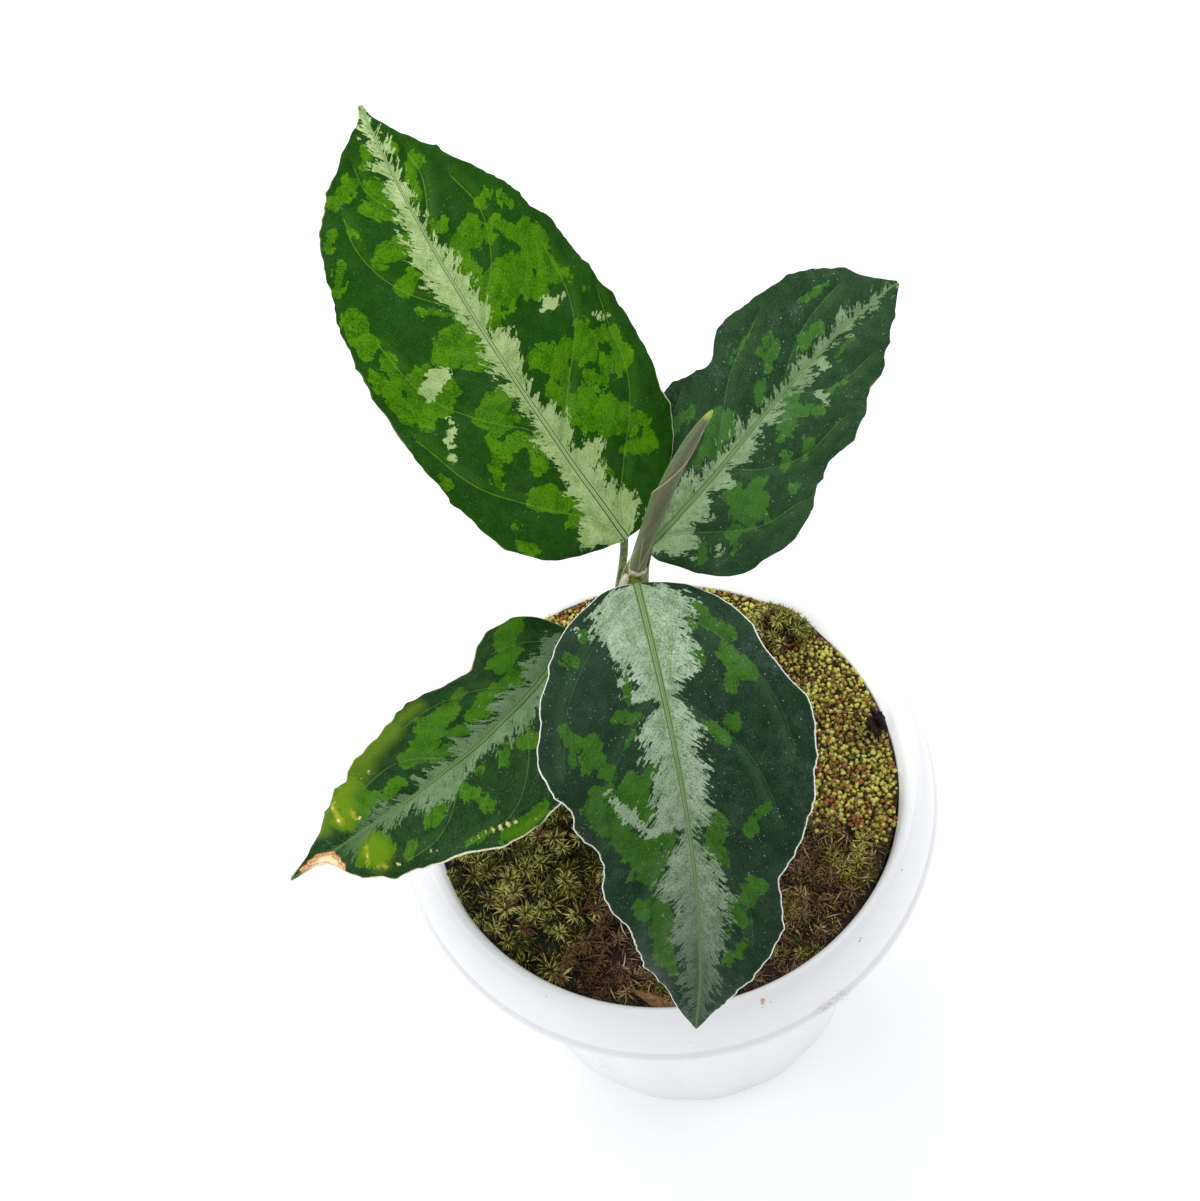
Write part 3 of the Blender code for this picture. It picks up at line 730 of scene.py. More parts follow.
@dataclass(frozen=True)
class RolledLeafFinish:
    """Young rolled leaf: grey olive outside, paler towards its winding edge."""

    name: str = "young_leaf"

    def material(self) -> bpy.types.Material:
        """Material of the rolled leaf.

        Returns:
            The finished material.
        """
        p = Paint(self.name)
        roll = p.vector("roll")
        along, turn, facing = (p.axis(roll, k) for k in range(3))
        streak = p.noise(p.stretch(roll, (0.06, 14.0, 0.0)), 1.0, 3.0, 0.6)
        fine = p.noise(p.object_place(), 2.4, 3.0, 0.6)
        tone = (streak * 1.6 + fine * 1.2 + 0.5).step(0.1, 0.9)
        olive = p.mix(tone, linear(74, 90, 56), linear(112, 128, 92))
        brown = 1.0 - abs(facing + streak * 0.3 + 0.15).step(0.2, 0.75)
        brown = brown * (fine + along.step(6.0, 20.0) * 0.75)
        colour = p.mix(brown * 0.85, olive, linear(110, 102, 78))
        pale = (facing + streak * 0.3).step(0.35, 0.95)
        colour = p.mix(pale * 0.65, colour, linear(112, 126, 100))
        green = (streak * 0.2 - facing).step(0.72, 0.98)
        colour = p.mix(green * 0.6, colour, linear(112, 142, 82))
        edge = (turn + fine * 0.016).step(-0.03, -0.012)
        colour = p.mix(edge * 0.85, colour, linear(184, 170, 130))
        low = 1.0 - (along + streak * 8.0).step(4.0, 16.0)
        colour = p.mix(low * 0.4, colour, linear(132, 142, 100))
        under = abs(abs(facing - 0.3) - (along - 8.5) * 0.05)
        seam = (1.0 - under.step(0.02, 0.07)) * along.step(8.0, 9.0) * (1.0 - along.step(17.0, 22.0))
        colour = p.mix(seam * 0.7, colour, linear(178, 188, 128))
        tip = (along + fine * 2.0).step(64.0, 67.0)
        colour = p.mix(tip, colour, linear(166, 184, 70))
        return p.finish(colour, 0.45, p.bump(streak + fine * 0.4, 0.5, 0.14), Specular_IOR_Level=0.35)


@dataclass(frozen=True)
class NodeFinish:
    """Young node under the rolled leaf: mottled green and yellow, with a cream ragged top."""

    name: str = "young_node"

    def material(self) -> bpy.types.Material:
        """Material of the node's sheath.

        Returns:
            The finished material.
        """
        p = Paint(self.name)
        where = p.object_place()
        lump = p.noise(where, 0.9, 3.0, 0.6)
        fine = p.noise(where, 3.0, 3.0, 0.65)
        green = p.mix((lump * 2.6 + fine + 0.5).step(0.3, 0.7), linear(52, 78, 18), linear(140, 146, 52))
        green = p.mix((fine * 1.5 - lump).step(0.15, 0.3), green, linear(204, 198, 150))
        cream = p.mix((fine * 2.0 + 0.4).step(0.2, 0.9), linear(224, 218, 198), linear(200, 164, 138))
        colour = p.mix((p.number("rise") + fine * 0.16).step(0.84, 0.93), green, cream)
        return p.finish(colour, 0.5, p.bump(lump + fine, 0.5, 0.25), Specular_IOR_Level=0.3)


@dataclass(frozen=True)
class PlasticFinish:
    """Glossy white plastic with faint smears, a few dirt marks and painted light: a glow on the inner wall
    and rim above the soil, towards the back.
    """

    name: str = "white_plastic"
    white: Colour = (0.87, 0.87, 0.885)
    rust: Points = (
        (11.9, -54.5, 105.0, 0.42),
        (11.8, -54.9, 104.4, 0.3),
        (11.6, -55.4, 103.5, 0.14),
        (51.9, -2.0, 101.0, 0.3),
        (51.2, -6.5, 98.9, 0.4),
    )
    soot: Points = (
        (13.5, -54.8, 104.0, 0.2),
        (34.6, -44.8, 103.6, 0.28),
        (35.0, -44.3, 103.8, 0.22),
        (46.6, -31.1, 104.6, 0.2),
        (-33.0, -45.0, 105.0, 0.14),
        (-4.8, -58.3, 98.0, 0.14),
    )

    def material(self) -> bpy.types.Material:
        """Material of the pot.

        Returns:
            The finished material.
        """
        p = Paint(self.name)
        where = p.object_place()
        smear = p.noise(where, 0.05, 4.0, 0.6)
        fine = p.noise(where, 1.6, 3.0, 0.6)
        colour = p.mix((smear + fine * 0.2).step(0.05, 0.4) * 0.35, self.white, linear(226, 224, 218))
        rusty, sooty = linear(196, 128, 70), linear(74, 62, 52)
        for marks, tint, soft in ((self.rust, rusty, 0.9), (self.soot, sooty, 0.3)):
            for x, y, z, size in marks:
                gap = p.gap(where, (x, y, z)) + fine * size * 1.6
                share = (1.0 - gap.step(size * 0.55, size * (1.0 + soft))) * 0.75
                colour = p.mix(share, colour, tint)
        scuff = p.gap(p.stretch(where, (1.0, 1.0, 1.8)), (27.5, -52.8, 166.4)) + smear * 6.0
        grime = (1.0 - scuff.step(2.0, 7.0)) * (fine * 1.6 + 0.5).step(0.3, 0.9)
        colour = p.mix(grime * 0.5, colour, linear(150, 124, 104))
        rough = smear * 0.18 + fine * 0.06 + 0.24
        # Painted light: the inner wall and rim above the soil, towards the back, glow by emission
        out = p.gap(p.stretch(where, (1.0, 1.0, 0.0)), CENTRE)
        behind = p.axis(where, 1).step(-30.0, 10.0)
        through = p.axis(where, 2).step(96.5, 98.5) * (1.0 - out.step(53.0, 57.0)) * behind
        painted_glow = p.mix(through, (0.0, 0.0, 0.0), (0.7, 0.71, 0.74))
        normal = p.bump(fine + smear * 2.0, 0.12, 0.06)
        shine = {"IOR": 1.48, "Coat_Weight": 0.2, "Coat_Roughness": 0.12}
        return p.finish(colour, rough, normal, Emission_Color=painted_glow, Emission_Strength=1.0, **shine)


@dataclass(frozen=True)
class SoilFinish:
    """Dark moist potting mix."""

    name: str = "potting_mix"

    def material(self) -> bpy.types.Material:
        """Material of the soil and its crumbs."""
        p = Paint(self.name)
        where = p.object_place()
        lump = p.noise(where, 0.7, 4.0, 0.7)
        fine = p.noise(where, 4.0, 3.0, 0.7)
        stops = ((0.2, linear(20, 14, 9)), (0.6, linear(52, 36, 22)), (0.85, linear(92, 66, 42)))
        colour = p.ramp(lump + fine * 0.4 + 0.5, stops)
        return p.finish(colour, 0.92, p.bump(lump * 2.0 + fine, 0.9, 0.8), IOR=1.35)


@dataclass(frozen=True)
class MossFinish:
    """Moss: dark at the foot and light at the tips, partly its own colour and partly painted shade and
    painted highlight, with some shoots gone brown.
    """

    name: str
    foot: Colour
    body: Colour
    light: Colour
    dead: Colour
    dead_share: float

    def material(self) -> bpy.types.Material:
        """Material of the moss shoots and of the bed below them.

        Returns:
            The finished material.
        """
        p = Paint(self.name)
        where = p.object_place()
        fine = p.noise(where, 2.4, 3.0, 0.6)
        wide = p.noise(where, 0.16, 2.0)
        tone, tip = p.number("tone"), p.number("tip")
        deeper = tuple(0.4 * part for part in self.body)
        body = p.mix((tone * 1.6 + wide * 1.5).step(0.1, 0.9), deeper, self.body)
        # Dark low down and pale at the tips: partly the moss's own colour, partly painted shade between the
        # shoots and a painted highlight on their tips
        green = p.mix((tip + fine * 0.5).step(0.15, 0.7), self.foot, body)
        green = p.mix((tip + fine * 0.5 + tone * 0.5).step(0.75, 1.2), green, self.light)
        living = 1.0 - self.dead_share
        dead = (tone + wide * 1.3 + fine * 0.2).step(living - 0.06, living + 0.06)
        brown = p.mix((tip + fine * 0.6).step(0.1, 0.9), self.foot, self.dead)
        colour = p.mix(dead, green, brown)
        return p.finish(colour, 0.7, p.bump(fine, 0.5, 0.3), Specular_IOR_Level=0.35)


@dataclass(frozen=True)
class LitterFinish:
    """Dry litter: one tint with darker veining."""

    name: str
    dark: Colour
    light: Colour

    def material(self) -> bpy.types.Material:
        """Material of a scrap or a crumb."""
        p = Paint(self.name)
        where = p.object_place()
        lump = p.noise(where, 1.1, 4.0, 0.7)
        fine = p.noise(where, 5.0, 2.0)
        colour = p.mix((lump * 1.8 + fine * 0.6 + 0.5).step(0.1, 0.9), self.dark, self.light)
        return p.finish(colour, 0.8, p.bump(lump + fine * 0.5, 0.7, 0.4), IOR=1.4)


class Paintbox(Enum):
    """The four leaves' finishes."""

    BRIGHT = LeafFinish(
        name="leaf_bright",
        deep=linear(24, 66, 8),
        shade=linear(38, 84, 12),
        patch=linear(46, 96, 0),
        patch_light=linear(86, 142, 4),
        silver=linear(142, 174, 96),
        silver_light=linear(200, 220, 158),
        vein=linear(104, 156, 40),
        rib=linear(172, 200, 136),
        groove=linear(28, 66, 16),
        margin=linear(120, 142, 84),
        margin_share=0.25,
        dust_and_sheen=0.3,
        ragged=7.5,
        vein_share=0.6,
        sheen=0.06,
    )
    DULL = LeafFinish(
        name="leaf_dull",
        deep=linear(26, 56, 28),
        shade=linear(44, 76, 42),
        patch=linear(46, 92, 28),
        patch_light=linear(66, 114, 42),
        silver=linear(112, 142, 92),
        silver_light=linear(162, 184, 144),
        vein=linear(84, 126, 62),
        rib=linear(120, 150, 92),
        groove=linear(64, 96, 54),
        margin=linear(92, 120, 72),
        margin_share=0.2,
        dust_and_sheen=1.0,
        ragged=9.0,
        roughness=0.5,
    )
    BLUISH = LeafFinish(
        name="leaf_bluish",
        deep=linear(18, 44, 26),
        shade=linear(36, 62, 40),
        patch=linear(36, 78, 12),
        patch_light=linear(60, 106, 28),
        silver=linear(94, 124, 78),
        silver_light=linear(180, 198, 172),
        vein=linear(92, 132, 78),
        rib=linear(126, 152, 94),
        groove=linear(66, 96, 48),
        margin=linear(250, 252, 244),
        margin_share=0.95,
        dust_and_sheen=0.7,
        ragged=10.5,
        vein_share=0.2,
        margin_width=0.36,
        cloud=0.6,
    )
    YELLOWING = AgeingLeafFinish(
        name="leaf_yellowing",
        deep=linear(16, 48, 12),
        shade=linear(36, 74, 28),
        patch=linear(44, 92, 4),
        patch_light=linear(72, 124, 10),
        silver=linear(88, 120, 76),
        silver_light=linear(128, 152, 114),
        vein=linear(92, 134, 66),
        rib=linear(116, 146, 88),
        groove=linear(40, 66, 30),
        margin=linear(236, 230, 200),
        margin_share=0.85,
        dust_and_sheen=0.4,
        ragged=9.0,
        margin_width=0.36,
        sheen=0.08,
    )


# Plant


@dataclass
class Cane:
    """The leaning stem, whose foot stands in the soil."""

    path: Points = ((0.0, -1.0, 62.0), (0.0, 0.0, 98.0), (-3.0, 17.5, 149.0), (0.3, 19.0, 161.0))
    radii: Points = ((0.0, 4.2), (0.3333, 4.2), (0.6667, 3.7), (1.0, 2.7))
    scars: tuple[float, ...] = (104.0, 110.5, 117.0, 123.0, 129.5, 136.0, 144.0, 152.0)

    def radius(self, at: Union[float, np.ndarray]) -> np.ndarray:
        """Radius at a place from 0 to 1."""
        return smooth_values(self.radii, np.asarray(at, float))

    def place_at(self, height: float) -> float:
        """Place from 0 to 1 at a height."""
        places = np.linspace(0.0, 1.0, 201)
        return float(np.interp(height, bezier(self.path, places)[:, 2], places))

    def seat(self, height: float, angle: float, off: float) -> tuple[np.ndarray, np.ndarray, np.ndarray]:
        """Point beside the stem."""
        at = self.place_at(height)
        along = unit(bezier_slope(self.path, at))
        turn = math.radians(angle)
        away = np.array([math.cos(turn), math.sin(turn), 0.0])
        away = unit(away - np.dot(away, along) * along)
        return bezier(self.path, at) + (float(self.radius(at)) + off) * away, along, away

    def build(self) -> None:
        """Builds the stem with a scar ring at each old leaf."""
        at = np.linspace(0.0, 1.0, 150)
        middle = bezier(self.path, at)
        off_scar = np.min(np.abs(middle[:, 2:3] - np.array(self.scars)), axis=1)
        swell = 0.28 * np.exp(-((off_scar / 0.8) ** 2)) - 0.1 * np.exp(-(((off_scar - 1.6) / 0.7) ** 2))
        cane = tube("cane", middle, self.radius(at) + swell - 0.15, 8)
        points = coordinates(cane)
        lean = 1.2 * Ripple(5, 9.0).at(points[:, 0] + points[:, 1], points[:, 2])
        scar = np.min(np.abs(points[:, 2:3] + 0.3 * lean[:, None] - np.array(self.scars)), axis=1)
        mark(cane, "scar", scar)
        smooth(cane)
        dress(cane, CaneFinish().material())
        hand_over(cane, "stem", "stem")


@dataclass
class Blade:
    """One leaf: blade, petiole and the sheath that clasps the stem.

    An outline lists (place along the midrib, half width). The band lists (distance along,
    half width of the silver). Strokes are (along, across, along, across, half width).
    """

    node: str
    finish: Paintbox
    slot: str
    seat_height: float
    seat_angle: float
    climb: float
    petiole_bend: tuple[float, float, float]
    midrib: Points
    left: Points
    right: Points
    waves: float
    wave_height: float
    band_left: Points
    band_right: Points
    patches: tuple[Stroke, ...]
    pales: tuple[Stroke, ...]
    veins: tuple[Points, ...]
    seed: int
    dim: Points = ((0.0, 0.0), (110.0, 0.3))
    yellow: tuple[Stroke, ...] = ()
    gold: tuple[Stroke, ...] = ()
    cream: tuple[Stroke, ...] = ()
    burn: tuple[Stroke, ...] = ()
    # Where the right margin carries a painted highlight, as (distance along, share)
    lit: Points = ((0.0, 0.0), (110.0, 0.0))
    fold: float = 0.22
    droop: float = 0.12
    sweep: float = 0.32
    sweep_start: float = 0.3
    thickness: float = 0.5
    columns: int = 80
    rows: int = 152
    length: float = field(init=False, default=0.0)

    def __post_init__(self) -> None:
        """Measures the midrib."""
        line = bezier(self.midrib, np.linspace(0.0, 1.0, 400))
        self.length = float(np.linalg.norm(np.diff(line, axis=0), axis=1).sum())

    def directions(self, at: np.ndarray) -> tuple[np.ndarray, np.ndarray, np.ndarray]:
        """Directions along the midrib, to its right and off its upper face."""
        along = unit(bezier_slope(self.midrib, at))
        right = unit(np.cross(along, UP))
        return along, right, np.cross(right, along)

    def reach(self, at: np.ndarray, side: np.ndarray) -> np.ndarray:
        """Half width with the fine teeth of the margin."""
        plain = np.where(side < 0, smooth_values(self.left, at), smooth_values(self.right, at))
        s = at * self.length
        left_teeth, right_teeth = (Ripple(seed, 9.0).at(s, 0.0 * s) for seed in (self.seed, self.seed + 1))
        teeth = np.where(side < 0, left_teeth, right_teeth)
        small = Ripple(self.seed + 5, 3.0).at(s, 9.0 * np.sign(side))
        ends = np.clip(plain / 8.0, 0.0, 1.0) * np.clip((1.0 - at) / 0.08, 0.0, 1.0)
        return plain + ends * (0.36 * (1.0 - 2.0 * np.abs(teeth) ** 0.7) + 0.16 * small)

    def relief(self, w: np.ndarray, at: np.ndarray, column: np.ndarray, vein: np.ndarray) -> np.ndarray:
        """Height of the upper face over the smooth sheet.

        Args:
            w: Distance across.
            at: Place along the midrib, from 0 to 1.
            column: Place across, from -1 to 1.
            vein: Distance to the nearest side vein.

        Returns:
            One height for each point.
        """
        taper = np.sqrt(1.0 - 0.9 * at)
        trough = -0.55 * taper * np.exp(-((w / (1.7 * taper)) ** 2))
        ridge = 0.42 * taper * np.exp(-((w / (0.42 * taper)) ** 2))
        sunk = -0.28 * np.exp(-((vein / 0.8) ** 2)) * np.clip(np.abs(w) / 1.5, 0.0, 1.0)
        quilt = 0.6 * (1.0 - np.exp(-((vein / 3.4) ** 2))) * (1.0 - np.abs(column) ** 6)
        quilt = quilt * np.clip(np.abs(w) / 4.0, 0.0, 1.0)
        s = at * self.length
        soft = 0.3 * Ripple(self.seed + 2, 17.0).at(s, w) + 0.1 * Ripple(self.seed + 3, 6.0).at(s, w)
        frill = 0.5 * np.abs(column) ** 7 * Ripple(self.seed + 4, 8.0).at(s, 3.0 * np.sign(w))
        tip = np.clip((1.0 - at) / 0.06, 0.0, 1.0)
        ends = np.clip(at / 0.04, 0.0, 1.0) * tip
        return (trough + ridge) * tip + ends * (sunk + quilt + soft + frill)

    def sheet(self) -> bpy.types.Object:
        """Blade with its relief, its margin and the marks that its finish reads.

        Returns:
            The blade as a thin closed shell.
        """
        obj, flat_x, flat_y = grid(f"{self.node}_blade", self.columns, self.rows)
        column = np.sign(flat_x) * np.abs(flat_x) ** 1.35
        at = 0.45 * flat_y + 0.55 * (0.5 - 0.5 * np.cos(math.pi * flat_y))
        reach = self.reach(at, column)
        width = reach * np.abs(column)
        side = np.where(column < 0, -1.0, 1.0)
        along, right, normal = self.directions(at)
        forward = self.sweep * np.minimum(1.0, at / self.sweep_start) * width
        wave = np.sin(TURN * (self.waves * at + 0.25 * side))
        lift = (self.fold - self.droop * np.abs(column)) * width
        lift = lift + self.wave_height * np.minimum(1.0, reach / 8.0) * column**2 * wave
        s = at * self.length
        w = width * side
        vein, vein_side = line_offsets(self.veins, s, w)
        lift = lift + self.relief(w, at, column, vein) + 0.5 * self.thickness
        points = bezier(self.midrib, at) + w[:, None] * right + forward[:, None] * along
        place(obj, points + lift[:, None] * normal)
        apart = 17.0 * side + 3.0 * self.seed
        mark(obj, "flow", np.stack([0.8 * s - 0.6 * width, 0.6 * s + 0.8 * width, apart], axis=1))
        band = np.where(w < 0, smooth_values(self.band_left, s), smooth_values(self.band_right, s))
        mark(obj, "band", band - width)
        mark(obj, "patch", stroke_depth(self.patches, s, w))
        mark(obj, "pale", stroke_depth(self.pales, s, w))
        mark(obj, "vein", vein)
        mark(obj, "vein_side", vein_side)
        mark(obj, "dim", smooth_values(self.dim, s))
        mark(obj, "lit", np.where(w > 0, smooth_values(self.lit, s), 0.0))
        mark(obj, "rib", np.minimum(width / (1.25 - 0.95 * at**0.7), FAR))
        mark(obj, "margin", np.minimum(reach - width, FAR))
        for name in ("yellow", "gold", "cream", "burn"):
            if self.yellow:
                mark(obj, name, stroke_depth(getattr(self, name), s, w))
        apply_modifier(obj, "SOLIDIFY", thickness=self.thickness * MM, offset=-1.0)
        return obj

    def stalk(self, cane: Cane) -> bpy.types.Object:
        """Petiole from the stem to the blade, going on below it as the midrib's keel.

        Args:
            cane: The stem that it leaves.

        Returns:
            The stalk as a mesh object.
        """
        foot, along, away = cane.seat(self.seat_height, self.seat_angle, SEAT_GAP + 1.7)
        path = (tuple(foot), tuple(foot + self.climb * along + 0.5 * away), self.petiole_bend, self.midrib[0])
        up_stalk = np.linspace(0.0, 1.0, 40)
        root = np.linspace(0.0, 1.0, 9)[:-1]
        at = np.linspace(0.0, 0.93, 60)[1:]
        start, normal = self.directions(np.array([0.0]))[2], self.directions(at)[2]
        keel_radius = 0.8 * (1.0 - at) ** 0.8 + 0.16
        keel = bezier(self.midrib, at) - (0.92 * keel_radius + 0.3)[:, None] * normal
        lowered = bezier(path, up_stalk) - (1.3 * up_stalk**4)[:, None] * start
        low = cane.seat(self.seat_height - 4.6, self.seat_angle, 0.1)[0]
        lead = low + root[:, None] * (lowered[0] - low)
        radii = [0.3 + 1.16 * root**0.7, 0.86 + 0.6 * (1.0 - up_stalk) ** 3, keel_radius]
        path = np.concatenate([lead, lowered, keel])
        return tube(f"{self.node}_stalk", path, np.concatenate(radii), 4)

    def sheath(self, cane: Cane) -> bpy.types.Object:
        """Sheath at the stalk's foot: a curved sheet that clasps the stem and narrows upwards.

        Args:
            cane: The stem that it clasps.

        Returns:
            The sheath as a thin closed shell.
        """
        obj, across, up_sheath = grid(f"{self.node}_sheath", 28, 30)
        foot = self.seat_height - 4.0
        tall = self.climb + 8.0
        rows = []
        for u, v in zip(across, up_sheath):
            span = 150.0 * (1.0 - v) ** 0.8 * (0.35 + 0.65 * min(1.0, v / 0.1)) + 10.0
            off = 0.3 + 0.25 * abs(u) + 1.9 * v * (1.0 - abs(u) * 0.6)
            off -= 0.9 * max(0.0, 1.0 - v / 0.1) ** 2
            rows.append(cane.seat(foot + tall * v, self.seat_angle + span * u, off)[0])
        place(obj, np.array(rows))
        mark(obj, "across", across)
        thicken(obj, 0.3, 1.0)
        return obj

    def build(self, cane: Cane) -> None:
        """Builds and dresses the whole leaf on its stem."""
        blade, stalk, sheath = self.sheet(), self.stalk(cane), self.sheath(cane)
        dress(blade, self.finish.value.material())
        dress(stalk, PetioleFinish().material())
        dress(sheath, SheathFinish().material())
        leaf = join(f"{self.node}_dressed", blade, stalk, sheath)
        smooth(leaf, 60.0)
        hand_over(leaf, self.slot, self.node)


@dataclass
class RolledLeaf:
    """The new leaf, a sheet still rolled round itself, on top of the stem.

    The edge lists the direction in radians in which the outer margin lies, from foot to tip.
    """

    rise: float = 21.0
    bend: tuple[float, float, float] = (12.0, 21.0, 205.0)
    tip: tuple[float, float, float] = (20.0, 18.0, 225.0)
    radii: Points = (
        (0.0, 1.62), (0.15, 1.64), (0.4, 1.58), (0.6, 1.46),
        (0.7, 1.25), (0.85, 0.9), (0.95, 0.5), (1.0, 0.12),
    )
    edge: Points = (
        (0.0, 6.9), (0.2, 6.2), (0.38, 4.7), (0.56, 2.9),
        (0.67, 1.8), (0.77, 0.6), (0.87, 0.1), (1.0, -0.3),
    )
    margin: Points = ((-0.3, 17.9, 168.3), (-1.6, 17.0, 166.0), (-2.8, 16.2, 162.0), (-2.7, 16.9, 155.5))
    front: float = 2.05
    turns: float = 1.45
    step: float = 0.22
    columns: int = 72
    rows: int = 104
    path: Points = field(init=False, default=())

    def around(self, at: np.ndarray, angle: np.ndarray, radius: np.ndarray) -> np.ndarray:
        """Points round the rolled leaf's axis."""
        forward = unit(bezier_slope(self.path, at))
        side = unit(np.array([1.0, 0.0, 0.0]) - forward[:, :1] * forward)
        ring = np.cos(angle)[:, None] * side + np.sin(angle)[:, None] * np.cross(side, forward)
        return bezier(self.path, at) + radius[:, None] * ring

    def sheet(self) -> bpy.types.Object:
        """The rolled blade itself.

        Returns:
            A thin closed shell.
        """
        obj, across, at = grid("rolled_leaf", self.columns, self.rows)
        share = 0.5 * (across + 1.0)
        slim = smooth_values(self.radii, at)
        step = self.step * np.clip(at / 0.2, 0.1, 1.0)
        radius = slim * (1.0 - 0.5 * step + step * share**2)
        angle = smooth_values(self.edge, at) - TURN * self.turns * (1.0 - share)
        loose = 1.0 + 0.1 * share**8 * (1.0 + np.sin(5.0 * math.pi * at))
        loose = loose + 0.9 * share**14 * np.clip((at - 0.9) / 0.05, 0.0, 1.0)
        place(obj, self.around(at, angle, radius * loose))
        facing = np.sin(self.front - angle)
        mark(obj, "roll", np.stack([68.0 * at, (share - 1.0) * self.turns, facing], axis=1))
        thicken(obj, 0.2, -1.0)
        return obj

    def node(self) -> bpy.types.Object:
        """Sheath round the foot, with a ragged thin top and a loose margin on the left.

        Returns:
            A thin closed shell.
        """
        obj, across, rise = grid("young_node", 120, 16)
        angle = math.pi * (1.04 * across + 0.5)
        ragged = 0.006 * Ripple(91, 1.4).at(2.5 * np.cos(angle), 2.5 * np.sin(angle))
        top = 0.118 + ragged + 0.048 * np.exp(-((np.mod(angle, TURN) - 3.25) ** 2) / 0.1)
        at = np.clip(rise * top, 0.0, 1.0)
        bulge = 0.22 * np.sin(math.pi * np.clip(rise / 0.9, 0.0, 1.0))
        radius = 2.4 - 0.62 * rise**1.5 + bulge + 0.04 * Ripple(92, 1.6).at(angle * 2.5, 67.0 * at)
        place(obj, self.around(at, angle, radius))
        mark(obj, "rise", rise)
        thicken(obj, 0.16, -1.0)
        return obj

    def flap(self) -> bpy.types.Object:
        """Loose cream sheath margin beside the foot.

        Returns:
            A thin closed shell.
        """
        obj, across, down = grid("sheath_margin", 10, 30)
        wide = 0.95 * np.sin(math.pi * np.clip(0.12 + 0.8 * down, 0.0, 1.0))
        wide = wide + 0.12 * Ripple(93, 2.0).at(9.0 * down, 3.0 * across)
        points = bezier(self.margin, down) + (across * wide)[:, None] * unit(np.array([1.0, -0.35, 0.2]))
        points[:, 1] -= 0.5 * (1.0 - across**2)
        place(obj, points)
        mark(obj, "rise", np.full(across.shape, 1.0))
        thicken(obj, 0.16, 0.0)
        return obj

    def build(self, cane: Cane) -> None:
        """Builds and dresses the rolled leaf on its stem."""
        along = unit(bezier_slope(cane.path, 1.0))
        base = bezier(cane.path, 1.0) - 0.8 * along
        self.path = (tuple(base), tuple(base + self.rise * along), self.bend, self.tip)
        sheet, node, flap = self.sheet(), self.node(), self.flap()
        young = NodeFinish().material()
        dress(sheet, RolledLeafFinish().material())
        dress(node, young)
        dress(flap, young)
        whole = join("leaf_rolled_dressed", sheet, node, flap)
        smooth(whole, 60.0)
        hand_over(whole, "leaf_young", "leaf_rolled")


# Pot and what fills it


